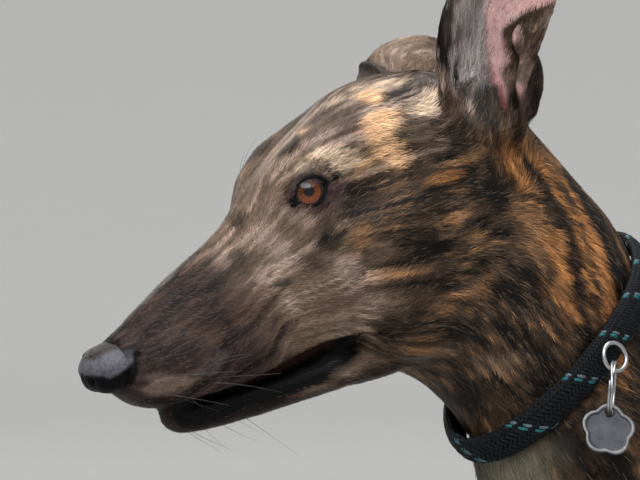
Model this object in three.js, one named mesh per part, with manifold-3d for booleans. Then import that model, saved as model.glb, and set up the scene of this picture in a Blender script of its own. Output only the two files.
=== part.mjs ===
// A life-size standing brindle greyhound, alert, its head turned to its own right, wearing a cord
// collar with a tag. Millimetres. The dog faces -Y with +X to its left, and it stands on the plane
// z = 0. Each form of the body is a smooth field, which is 0 on the surface and below 0 inside.
// Rays cast from a centre line out to that surface give a closed solid, and each solid is then cut
// clear of those that it grows from.
import * as THREE from "three";
import { mergeVertices } from "three/addons/utils/BufferGeometryUtils.js";
import Module from "manifold-3d";

const wasm = await Module();
wasm.setup();

// Driving dimensions

const GAP = 0.35; // between two touching solids
const SLIVER = 0.1; // the smallest detail that a cut leaves
const FLOOR_DEPTH = 1.5; // how far the pads are drawn below the floor before they are cut flat
const OVERSHOOT = 30; // how far a form is drawn past the face it is cut at
const REACH = 1500; // the side of a cutting block
const WITHERS_HEIGHT = 715;
const NOSE_TIP = new THREE.Vector3(-122, -588, 746);
const HEAD_PITCH = 18; // degrees, nose down
const HEAD_YAW = 23; // degrees, to the dog's right
const EYE_RADIUS = 10.5;
const EAR_THICKNESS = 3;
const COLLAR = { width: 15, thickness: 6.5, at: [-26, -371, 755], axis: [0.28, 0.645, -0.71] };
const LINK = { radius: 6.5, wire: 1.1 };
const SPLIT_RING = { radius: 12, wire: 1.3 };
const TAG = { width: 21.5, height: 21.5, thickness: 2, lobe: 0.16, hole: 2.6, rim: 1.5 };
// Where the link meets the collar, and where the tag's middle hangs.
const HANG = { top: [26.5, -395, 755], tag: [33, -413, 711], outward: [0.75, -0.66, 0] };
const LEFT = 1;
const RIGHT = -1;
const X = new THREE.Vector3(1, 0, 0);
const Z = new THREE.Vector3(0, 0, 1);
const vec = ([x, y, z]) => new THREE.Vector3(x, y, z);
const degrees = THREE.MathUtils.degToRad;

// Materials

const finish = (color, roughness, metalness = 0) =>
  new THREE.MeshStandardMaterial({ color, roughness, metalness });
const brindle = finish("#6b5442", 0.75);
const muzzleCoat = finish("#4b3f3b", 0.75);
const earCoat = finish("#6a5850", 0.75);
const noseLeather = finish("#26262a", 0.4);
const eyeball = finish("#5e2f12", 0.08);
const claw = finish("#2c2522", 0.45);
const cord = finish("#17191d", 0.85);
const steel = finish("#9ea0a2", 0.3, 1);

// Fields

// A smooth curve through [place, value] pairs, level past both ends.
function curve(pairs) {
  const slope = (i) => {
    const a = pairs[Math.max(i - 1, 0)];
    const b = pairs[Math.min(i + 1, pairs.length - 1)];
    return (b[1] - a[1]) / (b[0] - a[0]);
  };
  return (t) => {
    if (t <= pairs[0][0]) return pairs[0][1];
    const next = pairs.findIndex((pair) => pair[0] > t);
    if (next < 0) return pairs[pairs.length - 1][1];
    const [t0, v0] = pairs[next - 1];
    const [t1, v1] = pairs[next];
    const step = t1 - t0;
    const s = (t - t0) / step;
    const ease = s * s * (3 - 2 * s);
    const bow = s * (1 - s) * step;
    return v0 + (v1 - v0) * ease + bow * ((1 - s) * slope(next - 1) - s * slope(next));
  };
}

const softly = (a, b, reach) => Math.min(a, b) - (Math.max(reach - Math.abs(a - b), 0) ** 2) / (4 * reach);
const both = (a, b, reach) => -softly(-a, -b, reach);

// Forms melted together over a distance.
const melt = (reach, ...forms) => (p) => forms.map((form) => form(p)).reduce((a, b) => softly(a, b, reach));
// A form with hollows pressed into it.
const hollowed = (form, reach, ...hollows) => (p) =>
  hollows.map((hollow) => -hollow(p)).reduce((a, b) => both(a, b, reach), form(p));

// How far a point is outside an oval, along the line from its centre.
function ovalDistance(u, v, w, ru, rv, rw) {
  const away = Math.hypot(u, v, w);
  if (away < 1e-6) return -Math.min(ru, rv);
  return away * (1 - 1 / Math.hypot(u / ru, v / rv, w / rw));
}

// An oval muscle or bone between two points: its half width is across the body, its half depth in
// the third direction.
function muscle(from, to, width, depth, end = Math.min(width, depth), across = X) {
  const a = vec(from);
  const b = vec(to);
  const middle = a.clone().add(b).multiplyScalar(0.5);
  const axis = b.clone().sub(a);
  const half = axis.length() / 2 + end;
  axis.normalize();
  const side = across.clone().addScaledVector(axis, -across.dot(axis)).normalize();
  const third = axis.clone().cross(side);
  return (p) => {
    const q = p.clone().sub(middle);
    return ovalDistance(q.dot(side), q.dot(third), q.dot(axis), width, depth, half);
  };
}

// The centre line of stations that start with x, y and z.
const along = (stations) => stations.map((station) => station.slice(0, 3));

// A limb through stations [x, y, z, half width, half depth], rounded at both ends.
function limb(stations, across = X, fine = 3) {
  const steps = (stations.length - 1) * fine;
  const places = stations.map((_, i) => i * fine);
  const along = [0, 1, 2, 3, 4].map((k) => curve(stations.map((s, i) => [places[i], s[k]])));
  const rings = Array.from({ length: steps + 1 }, (_, i) => along.map((f) => f(i)));
  const segments = rings.slice(1).map((end, i) => {
    const a = vec(rings[i]);
    const axis = vec(end).sub(a);
    const length = axis.length();
    axis.normalize();
    const side = across.clone().addScaledVector(axis, -across.dot(axis)).normalize();
    return { a, axis, length, side, third: axis.clone().cross(side), from: rings[i], to: end };
  });
  return (p) => {
    let nearest = Infinity;
    for (const s of segments) {
      const q = p.clone().sub(s.a);
      const t = THREE.MathUtils.clamp(q.dot(s.axis) / s.length, 0, 1);
      q.addScaledVector(s.axis, -t * s.length);
      const width = THREE.MathUtils.lerp(s.from[3], s.to[3], t);
      const depth = THREE.MathUtils.lerp(s.from[4], s.to[4], t);
      const past = q.dot(s.axis);
      const d = ovalDistance(q.dot(s.side), q.dot(s.third), past, width, depth, Math.min(width, depth));
      nearest = Math.min(nearest, d);
    }
    return nearest;
  };
}

// A trunk along Y whose top, bottom, half width and widest height are curves, with a squareness
// above and below.
function trunk({ ends, top, bottom, half, waist, upper, lower }) {
  return (p) => {
    const centre = waist(p.y);
    const up = p.z > centre;
    const reach = Math.max(up ? top(p.y) - centre : centre - bottom(p.y), 0.5);
    const power = up ? upper(p.y) : lower(p.y);
    const u = Math.abs(p.x) / Math.max(half(p.y), 0.5);
    const v = Math.abs(p.z - centre) / reach;
    const away = Math.hypot(p.x, p.z - centre);
    const k = (u ** power + v ** power) ** (1 / power);
    const ring = away < 1e-6 ? -reach : away * (1 - 1 / k);
    return Math.max(ring, ends[0] - p.y, p.y - ends[1]);
  };
}

// Solids

const toSolid = (geometry) => {
  const plain = geometry.clone();
  plain.deleteAttribute("normal");
  plain.deleteAttribute("uv");
  const merged = mergeVertices(plain, 1e-4);
  return solidOf(merged.attributes.position.array, merged.index.array);
};

const solidOf = (vertProperties, triVerts) =>
  new wasm.Manifold(new wasm.Mesh({ numProp: 3, vertProperties, triVerts }));

// A solid from a closed set of faces, which are turned round where they all point inwards.
function closedSolid(points, faces) {
  const places = new Float32Array(points.flatMap((p) => p.toArray()));
  const made = solidOf(places, new Uint32Array(faces));
  return made.volume() > 0 ? made : solidOf(places, new Uint32Array([...faces].reverse()));
}

// A node keeps only its largest closed surface.
const largest = (solid) =>
  solid.decompose().reduce((best, next) => (next.volume() > best.volume() ? next : best));

const toGeometry = (solid) => {
  const { vertProperties, triVerts } = solid.getMesh();
  return new THREE.BufferGeometry()
    .setAttribute("position", new THREE.BufferAttribute(new Float32Array(vertProperties), 3))
    .setIndex(new THREE.BufferAttribute(new Uint32Array(triVerts), 1));
};

const moved = (solid, matrix) => toSolid(toGeometry(solid).applyMatrix4(matrix));
const fuse = (...solids) => solids.reduce((a, b) => a.add(b));
const cut = (solid, ...tools) => largest(tools.reduce((a, b) => a.subtract(b), solid).simplify(SLIVER));

// A plane through a point: the distance of a point in front of it, and the block of all space in
// front of it.
function plane(through, towards) {
  const at = vec(through);
  const normal = vec(towards).normalize();
  const past = (p) => p.clone().sub(at).dot(normal);
  const front = (clear = 0) => {
    const block = new THREE.BoxGeometry(REACH, REACH, REACH).translate(0, 0, REACH / 2 + clear);
    const turn = new THREE.Quaternion().setFromUnitVectors(Z, normal);
    return toSolid(block.applyQuaternion(turn).translate(...through));
  };
  return { past, front, flipped: () => plane(through, towards.map((n) => -n)) };
}
// A form that ends a little way past a plane, where a cut then leaves a clean face.
const endedBy = (field, { past }) => (p) => Math.max(field(p), past(p) - OVERSHOOT);

// The distance from a start along a direction to where the field reaches a level.
function castRay(field, start, direction, level) {
  let inside = 0;
  let outside = 0;
  const at = (r) => field(start.clone().addScaledVector(direction, r)) - level;
  let value = at(0);
  if (value > 0) throw new Error("a centre line leaves its form near " + start.toArray().map(Math.round));
  while (value <= 0) {
    inside = outside;
    outside += Math.max(-value * 0.6, 0.6);
    value = at(outside);
  }
  for (let i = 0; i < 16; i += 1) {
    const middle = (inside + outside) / 2;
    if (at(middle) > 0) outside = middle;
    else inside = middle;
  }
  return outside;
}

// A closed solid of a field: rings of rays round a centre line, and a dome of rays at each end.
function cast(field, line, sides, { level = 0, across = X, dome = 3, rings = 1 } = {}) {
  const path = new THREE.CatmullRomCurve3(line.map(vec), false, "centripetal");
  const count = Math.max((line.length - 1) * rings, 1);
  const rows = [];
  const ray = (start, direction) =>
    start.clone().addScaledVector(direction, castRay(field, start, direction, level));
  for (let i = 0; i <= count; i += 1) {
    const centre = path.getPoint(i / count);
    const axis = path.getTangent(i / count);
    const side = across.clone().addScaledVector(axis, -across.dot(axis)).normalize();
    const third = axis.clone().cross(side);
    const ringAt = (tilt) =>
      Array.from({ length: sides }, (_, k) => {
        const angle = ((k + 0.5) / sides) * 2 * Math.PI;
        const out = side.clone().multiplyScalar(Math.cos(angle)).addScaledVector(third, Math.sin(angle));
        return ray(centre, out.multiplyScalar(Math.cos(tilt)).addScaledVector(axis, Math.sin(tilt)));
      });
    const tilts = Array.from({ length: dome - 1 }, (_, k) => ((k + 1) / dome) * (Math.PI / 2));
    if (i === 0) {
      rows.push([ray(centre, axis.clone().negate())]);
      for (const tilt of [...tilts].reverse()) rows.push(ringAt(-tilt));
    }
    rows.push(ringAt(0));
    if (i === count) {
      for (const tilt of tilts) rows.push(ringAt(tilt));
      rows.push([ray(centre, axis)]);
    }
  }
  return stitch(rows);
}

// Joins rows of points, of one length apart from a single point at each end, into a closed solid.
function stitch(rows) {
  const points = rows.flat();
  const starts = [];
  rows.reduce((sum, row) => (starts.push(sum), sum + row.length), 0);
  const faces = [];
  for (let r = 0; r + 1 < rows.length; r += 1) {
    const [a, b] = [rows[r], rows[r + 1]];
    const n = Math.max(a.length, b.length);
    for (let k = 0; k < n; k += 1) {
      const next = (k + 1) % n;
      const [a0, a1] = [starts[r] + (k % a.length), starts[r] + (next % a.length)];
      const [b0, b1] = [starts[r + 1] + (k % b.length), starts[r + 1] + (next % b.length)];
      if (a.length > 1) faces.push(a0, a1, b0);
      if (b.length > 1) faces.push(a1, b1, b0);
    }
  }
  return closedSolid(points, faces);
}

// Torso: deep, narrow chest, tucked belly, arched loin and sloping croup

const torsoTrunk = trunk({
  ends: [-372, 364],
  top: curve([
    [-372, 548], [-355, 612], [-315, 668], [-262, 702], [-205, WITHERS_HEIGHT], [-140, 706],
    [-60, 698], [20, 701],
    [90, 708], [150, 708], [210, 698], [265, 680], [315, 655], [350, 624], [364, 604],
  ]),
  bottom: curve([
    [-372, 530], [-355, 482], [-315, 430], [-255, 392], [-190, 374], [-120, 370], [-60, 378], [0, 402],
    [60, 442], [110, 482], [150, 508], [190, 522], [250, 532], [310, 552], [350, 584], [364, 600],
  ]),
  half: curve([
    [-372, 8], [-355, 36], [-315, 60], [-255, 77], [-190, 88], [-120, 96], [-50, 100], [20, 95],
    [90, 80], [150, 70], [210, 69], [265, 67], [315, 56], [350, 34], [364, 8],
  ]),
  waist: curve([
    [-372, 538], [-300, 560], [-100, 562], [0, 582], [90, 612], [210, 632], [300, 620], [364, 602],
  ]),
  upper: curve([[-372, 2], [-200, 1.8], [0, 2.1], [120, 2.4], [364, 2]]),
  lower: curve([[-372, 2], [-200, 1.75], [0, 1.8], [120, 2], [364, 2]]),
});
const gluteal = (s) => muscle([s * 40, 180, 662], [s * 46, 300, 612], 26, 34);
const backMuscle = (s) => muscle([s * 26, -110, 664], [s * 30, 160, 674], 20, 26);
const torsoField = melt(24, torsoTrunk, gluteal(LEFT), gluteal(RIGHT), backMuscle(LEFT), backMuscle(RIGHT));
const torsoLine = [
  [0, -345, 545], [0, -300, 550], [0, -240, 548], [0, -180, 545], [0, -120, 543], [0, -60, 548],
  [0, 0, 560],
  [0, 60, 580], [0, 120, 600], [0, 180, 615], [0, 240, 615], [0, 290, 610], [0, 335, 606],
];

// Neck: arched, drawn in under the collar, with a roll of loose skin before it

const neckStations = [
  [-50, -425, 812, 40, 50], [-40, -405, 793, 47, 59], [-33, -388, 774, 50, 65], [-26, -371, 755, 46, 61],
  [-19, -354, 733, 51, 76], [-11, -329, 696, 60, 94], [-5, -290, 648, 71, 113], [0, -240, 590, 80, 126],
  [0, -190, 540, 84, 130],
];
const neckField = limb(neckStations);
const neckLine = along(neckStations.slice(0, -2));
// Between the withers and the breastbone the neck meets the torso at this face.
const neckBase = plane([0, -300, 628], [0, 0.74, -0.67]);

// Head, in its own frame: the nose tip is the origin, +Y runs back along the skull and +Z up

const headTrunk = trunk({
  ends: [8, 252],
  top: curve([
    [8, 6.5], [25, 13.5], [36, 20], [54, 27.5], [66, 32.5], [78, 37], [90, 44], [104, 55],
    [118, 65], [132, 73.5],
    [148, 79.5], [166, 83], [190, 80], [206, 75], [222, 65], [236, 49], [246, 30], [252, 16],
  ]),
  bottom: curve([
    [8, -12], [21, -25], [45, -27.5], [69, -27.5], [90, -25], [106, -26], [118, -33], [130, -45],
    [150, -52],
    [168, -60], [190, -62], [212, -54], [236, -30], [252, -6],
  ]),
  half: curve([
    [8, 10], [18, 15.5], [30, 19], [50, 21.5], [70, 24], [90, 28], [106, 32.5], [120, 37],
    [135, 41.5], [152, 45],
    [172, 47], [192, 46], [212, 43], [236, 34], [252, 20],
  ]),
  waist: curve([[8, -6], [30, -13], [70, -13], [95, -8], [120, 4], [150, 8], [190, 12], [252, 8]]),
  upper: curve([[8, 2.2], [30, 1.9], [80, 1.9], [110, 2.2], [140, 2.3], [252, 2.1]]),
  lower: curve([[8, 2.4], [30, 3.2], [100, 3.2], [125, 2.4], [252, 2]]),
});
const headFeatures = (s) => [
  muscle([s * 14, 108, 50], [s * 24, 134, 60], 10, 11), // brow ridge
  muscle([s * 33, 116, 20], [s * 43, 172, 12], 5, 8), // cheek arch
  muscle([s * 34, 128, -8], [s * 36, 162, -38], 11, 20), // jaw muscle
  muscle([s * 24, 150, 50], [s * 28, 196, 48], 15, 20), // temple muscle
  muscle([s * 27, 206, 46], [s * 32, 211, 55], 15, 22), // root of the ear
  muscle([s * 20.5, 118, 43], [s * 22, 117, 43.2], 11.5, 11.5), // orbit
  muscle([s * 14, 34, -17], [s * 20, 96, -17], 6, 8), // lip
  muscle([s * 11, 26, -12], [s * 14, 40, -14], 8, 10), // whisker pad
];
const headHollows = (s) => [
  muscle([s * 41, 96, 22], [s * 44, 104, 24], 10, 10), // below the inner corner of the eye
  muscle([s * 45, 134, 42], [s * 46, 146, 44], 9, 9), // behind the eye
];
const headField = hollowed(
  melt(12, headTrunk, ...headFeatures(LEFT), ...headFeatures(RIGHT)),
  14,
  ...headHollows(LEFT),
  ...headHollows(RIGHT),
  muscle([0, 104, 66], [0, 150, 90], 7, 7), // furrow of the forehead
);
const headLine = [
  [0, 24, -7], [0, 34, -6], [0, 46, -5], [0, 58, -4], [0, 70, -2], [0, 82, 0], [0, 94, 4],
  [0, 105, 8], [0, 115, 12],
  [0, 125, 14], [0, 136, 14], [0, 150, 14], [0, 166, 12], [0, 182, 10], [0, 198, 8], [0, 214, 4],
];
// Behind the ears and the jaw the head meets the neck at this face.
const nape = { through: [0, 204, 0], towards: [0, 0.88, -0.475] };

// Lower jaw, a little dropped, with the gum wall that shows between the lips

const jawField = melt(
  5,
  limb([
    [0, 37, -36, 11, 7], [0, 60, -37.5, 16.5, 8.5], [0, 90, -39, 21, 8.5], [0, 120, -39.5, 27, 10],
    [0, 140, -40, 29, 12],
  ]),
  muscle([0, 31, -33], [0, 40, -33], 8, 4.5),
);
const gumField = limb([[0, 44, -27, 8, 8], [0, 70, -27, 15, 9], [0, 95, -27, 20, 9], [0, 122, -27, 26, 9]]);
const jawLine = [[0, 38, -36], [0, 54, -37], [0, 72, -38], [0, 92, -39], [0, 112, -39.5], [0, 132, -40]];
const jawSolid = (level) => cast(jawField, jawLine, 14, { level, dome: 3 });
const gumLine = [[0, 46, -28], [0, 70, -28], [0, 95, -28], [0, 118, -28]];
const gumSolid = () => cast(gumField, gumLine, 10, { dome: 2 });

// Nose leather with two nostrils, each open in front and running out to a slit at the side

const noseField = melt(
  4,
  muscle([0, 9, -2.5], [0, 13, -1.5], 11.5, 9.5, 9),
  muscle([-6, 7, -4.5], [-8, 13, -5], 7, 8),
  muscle([6, 7, -4.5], [8, 13, -5], 7, 8),
);
const nostril = (s) =>
  cast(
    limb([[s * 5, -2, -4.5, 2.6, 2.8], [s * 6.5, 5, -5, 2.6, 2.6], [s * 8, 10, -5, 1.2, 1.6]]),
    [[s * 5, -2, -4.5], [s * 6.5, 5, -5], [s * 8, 10, -5]],
    8,
    { dome: 2 },
  );
const nostrilSlit = (s) =>
  cast(
    limb([
      [s * 7, 2, -6.5, 1.1, 1.8], [s * 12, 6, -7.5, 0.9, 1.9], [s * 16.5, 12, -6.5, 0.8, 1.9],
      [s * 18, 16, -3, 0.7, 1.6],
    ]),
    [[s * 7, 2, -6.5], [s * 12, 6, -7.5], [s * 16.5, 12, -6.5], [s * 18, 16, -3]],
    6,
    { dome: 2 },
  );
const nose = (level) => cast(noseField, [[0, 7, -3], [0, 14, -3]], 18, { level, dome: 4 });

// Eyes: each ball sits behind two lids with an almond opening

const eyeCentre = (s) => new THREE.Vector3(s * 21.5, 116.5, 43.2);
const eyeAxis = (s) => new THREE.Vector3(s * 0.87, -0.48, 0.1).normalize();
const ball = (radius, centre, across = 18) => {
  const geometry = new THREE.SphereGeometry(radius, across, across / 2);
  return toSolid(geometry.translate(...centre.toArray()));
};

// A prism of an almond outline that runs out of the eye along its axis.
function almondOpening(s) {
  const [half, rise, drop, tilt] = [11.2, 6.6, 5.6, degrees(-9)];
  const shape = new THREE.Shape();
  shape.moveTo(-half, 0);
  shape.bezierCurveTo(-half * 0.55, rise * 1.25, half * 0.45, rise * 1.35, half, 0);
  shape.bezierCurveTo(half * 0.5, -drop * 1.25, -half * 0.45, -drop * 1.35, -half, 0);
  const geometry = new THREE.ExtrudeGeometry(shape, { depth: 24, bevelEnabled: false, curveSegments: 7 });
  const out = eyeAxis(s);
  const back = new THREE.Vector3(0, 1, 0).addScaledVector(out, -out.y).normalize();
  back.applyAxisAngle(out, -s * tilt);
  const up = out.clone().cross(back).multiplyScalar(s > 0 ? 1 : -1);
  const frame = new THREE.Matrix4().makeBasis(s > 0 ? back : back.clone().negate(), up, out);
  frame.setPosition(eyeCentre(s));
  return toSolid(geometry.applyMatrix4(frame));
}
const lidBall = (s) => ball(EYE_RADIUS + 1.9, eyeCentre(s));
const eyeSocket = (s) => ball(EYE_RADIUS + GAP * 1.5, eyeCentre(s));

// Ears: a thin leaf rolled into a cup at its root

// rows: stations from root to tip, each with a centre, a width, the roll of its edges in degrees (0
// is flat), the direction across it and the direction that its hollow faces.
function leaf(rows, across = 10) {
  const outer = [];
  const inner = [];
  for (const { at, width, roll, side, face, thick } of rows) {
    const centre = vec(at);
    const facing = vec(face).normalize();
    const sideways = vec(side).addScaledVector(facing, -vec(side).dot(facing)).normalize();
    const turn = degrees(Math.max(roll, 4));
    const radius = width / 2 / turn;
    const pointAt = (share, distance) => {
      const angle = share * turn;
      const r = radius + distance;
      return centre
        .clone()
        .addScaledVector(facing, radius - r * Math.cos(angle))
        .addScaledVector(sideways, r * Math.sin(angle));
    };
    const shares = Array.from({ length: across + 1 }, (_, k) => (k / across) * 2 - 1);
    outer.push(shares.map((share) => pointAt(share, (thick / 2) * (1 - 0.5 * share ** 4))));
    inner.push(shares.map((share) => pointAt(share, (-thick / 2) * (1 - 0.5 * share ** 4))));
  }
  const loops = rows.map((_, i) => [...outer[i], ...[...inner[i]].reverse()]);
  return stitchLeaf(loops);
}

// Closes rows of like loops, each end with its own strip of quads from one side of the leaf to the other.
function stitchLeaf(loops) {
  const n = loops[0].length;
  const faces = [];
  for (let r = 0; r + 1 < loops.length; r += 1) {
    for (let k = 0; k < n; k += 1) {
      const next = (k + 1) % n;
      const [a0, a1, b0, b1] = [r * n + k, r * n + next, (r + 1) * n + k, (r + 1) * n + next];
      const mirrored = k >= n / 2;
      if (mirrored) faces.push(a0, a1, b1, a0, b1, b0);
      else faces.push(a0, a1, b0, a1, b1, b0);
    }
  }
  const cap = (row, flip) => {
    for (let k = 0; k + 1 < n / 2; k += 1) {
      const [a, b, c, d] = [row * n + k, row * n + k + 1, row * n + n - 2 - k, row * n + n - 1 - k];
      if (flip) faces.push(a, b, c, a, c, d);
      else faces.push(a, c, b, a, d, c);
    }
  };
  cap(0, false);
  cap(loops.length - 1, true);
  return closedSolid(loops.flat(), faces);
}

// The left ear is pricked, and its hollow faces out to the side.
const pricked = (at, width, roll, face, thick = EAR_THICKNESS) =>
  ({ at, width, roll, face, side: [0.25, 1, 0], thick });
const leftEarRows = [
  pricked([30, 209, 30], 52, 112, [0.9, -0.35, 0.2], 4),
  pricked([31, 209, 44], 56, 108, [0.9, -0.38, 0.2], 4),
  pricked([32, 211, 56], 62, 100, [0.9, -0.42, 0.16], 3.6),
  pricked([33, 214, 68], 68, 88, [0.9, -0.42, 0.12]),
  pricked([35, 219, 82], 72, 74, [0.92, -0.4, 0.08]),
  pricked([38, 225, 97], 72, 60, [0.94, -0.34, 0.02]),
  pricked([42, 232, 112], 66, 48, [0.95, -0.26, -0.06]),
  pricked([47, 239, 125], 54, 38, [0.93, -0.2, -0.2]),
  pricked([54, 246, 136], 37, 30, [0.88, -0.14, -0.4]),
  pricked([62, 252, 143], 17, 24, [0.8, -0.1, -0.6], 2.2),
  pricked([66, 255, 145], 5, 20, [0.78, -0.1, -0.62], 1.6),
];
// The right ear is folded back, with its tip behind the poll.
const folded = (at, width, roll, face, side, thick = EAR_THICKNESS) =>
  ({ at, width, roll, face, side, thick });
const rightEarRows = [
  folded([-30, 205, 34], 50, 112, [-0.85, -0.5, 0.15], [-0.3, 1, 0], 4),
  folded([-31, 205, 43], 54, 110, [-0.85, -0.5, 0.1], [-0.3, 1, 0], 4),
  folded([-33, 205, 52], 56, 104, [-0.85, -0.45, 0], [-0.3, 1, -0.15], 3.6),
  folded([-35, 208, 63], 56, 94, [-0.88, -0.3, -0.15], [-0.3, 0.9, -0.45]),
  folded([-39, 214, 71], 56, 82, [-0.9, -0.15, -0.25], [-0.3, 0.65, -0.75]),
  folded([-44, 223, 75], 54, 70, [-0.92, 0, -0.3], [-0.3, 0.35, -0.92]),
  folded([-49, 234, 75], 50, 60, [-0.92, 0.05, -0.32], [-0.3, 0.05, -0.95]),
  folded([-54, 246, 71], 44, 50, [-0.92, 0.1, -0.3], [-0.3, -0.15, -0.92]),
  folded([-58, 257, 65], 33, 40, [-0.92, 0.15, -0.3], [-0.3, -0.3, -0.9]),
  folded([-61, 267, 58], 18, 30, [-0.92, 0.15, -0.3], [-0.3, -0.35, -0.88], 2.2),
  folded([-62, 272, 54], 6, 24, [-0.92, 0.15, -0.3], [-0.3, -0.35, -0.88], 1.6),
];

// Legs

const shoulderField = (s) =>
  melt(
    18,
    limb([
      [s * 50, -205, 668, 20, 36], [s * 64, -245, 602, 25, 50], [s * 72, -305, 528, 27, 40],
      [s * 80, -268, 462, 26, 48], [s * 80, -215, 408, 21, 33],
    ]),
    muscle([s * 68, -215, 600], [s * 82, -212, 425], 21, 42),
  );
const shoulderLine = (s) => [
  [s * 52, -210, 655], [s * 64, -245, 602], [s * 70, -285, 545], [s * 77, -268, 475], [s * 80, -215, 408],
];
const forearmStations = (s) => [
  [s * 80, -208, 410, 20, 30], [s * 79, -208, 362, 20.5, 30], [s * 75, -210, 300, 17, 23],
  [s * 72, -212, 238, 14, 17],
  [s * 71, -214, 192, 15.5, 17], [s * 71, -215, 166, 17, 18], [s * 71, -215, 146, 14, 15.5],
];
const thighField = (s) =>
  melt(
    24,
    limb([
      [s * 46, 240, 640, 30, 62], [s * 60, 232, 580, 38, 96], [s * 68, 210, 520, 36, 86],
      [s * 75, 182, 465, 31, 62],
      [s * 79, 164, 437, 26, 40],
    ]),
    muscle([s * 48, 318, 606], [s * 64, 262, 486], 25, 34),
  );
const thighLine = (s) => [
  [s * 50, 240, 630], [s * 60, 232, 580], [s * 68, 210, 520], [s * 75, 182, 465], [s * 79, 164, 440],
];
const shankStations = (s) => [
  [s * 80, 168, 438, 25, 38], [s * 79, 205, 396, 24, 40], [s * 77, 250, 342, 19.5, 31],
  [s * 75, 300, 288, 15, 21],
  [s * 74, 345, 243, 13, 16], [s * 74, 368, 218, 14.5, 18],
];
const shankField = (s) =>
  melt(
    14,
    limb(shankStations(s)),
    muscle([s * 76, 285, 330], [s * 74, 372, 246], 7, 9), // the tendon of the heel
  );
const hockStations = (s) => [
  [s * 74, 380, 224, 14, 18], [s * 74, 378, 182, 13.5, 16], [s * 74, 372, 132, 12.5, 13.5],
  [s * 74, 363, 86, 13.5, 14],
];
const hockField = (s) =>
  melt(
    10,
    limb(hockStations(s)),
    muscle([s * 74, 378, 205], [s * 74, 397, 232], 9, 10), // point of the hock
  );

// A long, arched foot: four toes with deep gaps between them, pads under them, and all on the floor.
const TOES = [-17.5, -6.2, 6.2, 17.5];
const toeReach = (k) => (Math.abs(TOES[k]) < 10 ? 9 : 0);
const toeTip = (x, y, k) => [x + TOES[k] * 1.05, y - 46 - toeReach(k), 11];
function footField(x, y, pastern) {
  const toe = (k) =>
    limb([
      [x + TOES[k] * 0.75, y, 40, 8.5, 9.5], [x + TOES[k] * 0.95, y - 28 - toeReach(k) * 0.6, 33, 8, 9.5],
      toeTip(x, y, k).concat([6.8, 8]),
    ]);
  const pads = [
    muscle([x - 8, y + 1, 7], [x + 8, y + 1, 7], 15, 10, 10, new THREE.Vector3(0, 1, 0)),
    ...TOES.map((_, k) => {
      const [tipX, tipY] = toeTip(x, y, k);
      return muscle([tipX, tipY + 13, 6], [tipX, tipY + 4, 6], 6.8, 8.5);
    }),
  ];
  const palm = [
    muscle([x, y + 6, 40], [x, y - 14, 30], 17, 15),
    muscle([x, y, 22], [x, y - 26, 18], 16, 14),
  ];
  const shape = melt(5, melt(9, limb(pastern), ...palm), ...TOES.map((_, k) => toe(k)), ...pads);
  return (p) => Math.max(shape(p), -p.z - FLOOR_DEPTH);
}
const floorBlock = plane([0, 0, 0], [0, 0, -1]).front();
const foreFoot = (s) => {
  const [x, y] = [s * 72, -238];
  const pastern = [
    [s * 71, -215, 148, 14, 15], [s * 71, -218, 112, 13, 13.5], [s * 71, -226, 74, 15, 15],
    [x, y + 3, 44, 18, 17],
  ];
  return { x, y, pastern };
};
const hindFoot = (s) => {
  const [x, y] = [s * 74, 340];
  const pastern = [[s * 74, 363, 88, 13, 13.5], [s * 74, 358, 66, 14.5, 14.5], [x, y + 6, 44, 17.5, 16.5]];
  return { x, y, pastern };
};
function footSolid({ x, y, pastern }, level) {
  const line = [
    ...along(pastern.slice(0, -1)), [x, y + 6, 44], [x, y + 1, 30], [x, y - 8, 23],
    [x, y - 20, 21], [x, y - 31, 20],
    [x, y - 41, 18],
  ];
  return cast(footField(x, y, pastern), line, 20, { level, dome: 3 });
}
function clawSolid(foot, k) {
  const [x, y, z] = toeTip(foot.x, foot.y, k);
  const lean = TOES[k] * 0.1;
  const stations = [
    [x, y + 1, z + 1.5, 2.6, 3], [x + lean, y - 9, z, 2.2, 2.6], [x + lean * 2, y - 14, z - 6, 0.8, 0.9],
  ];
  return cast(limb(stations), along(stations), 5, { dome: 1 });
}

// Tail: long, low and tapering, with a slight upward sweep at its end

const tailStations = [
  [0, 338, 628, 17, 19], [0, 372, 594, 14.5, 15.5], [0, 394, 535, 12, 12.5],
  [1, 404, 462, 10, 10.5], [3, 406, 385, 8.5, 8.5],
  [6, 405, 312, 7, 7], [9, 413, 246, 5.6, 5.6], [12, 434, 196, 4.4, 4.4], [14, 462, 168, 3, 3],
];
const tailPiece = (from, to, sides, level = 0) => {
  const stations = tailStations.slice(from, to + 1);
  return cast(limb(stations), along(stations), sides, { level, dome: 2, rings: 2 });
};

// Collar and tag

// A point a distance out from the neck's surface, where the collar's plane cuts it.
const collarAxis = vec(COLLAR.axis).normalize();
const collarSide = X.clone().addScaledVector(collarAxis, -collarAxis.x).normalize();
const collarThird = collarAxis.clone().cross(collarSide);
const collarCentre = vec(COLLAR.at);
function aroundNeck(skin, angle, out) {
  const direction = collarSide.clone().multiplyScalar(Math.cos(angle));
  direction.addScaledVector(collarThird, Math.sin(angle));
  return collarCentre.clone().addScaledVector(direction, castRay(skin, collarCentre, direction, 0) + out);
}

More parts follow.
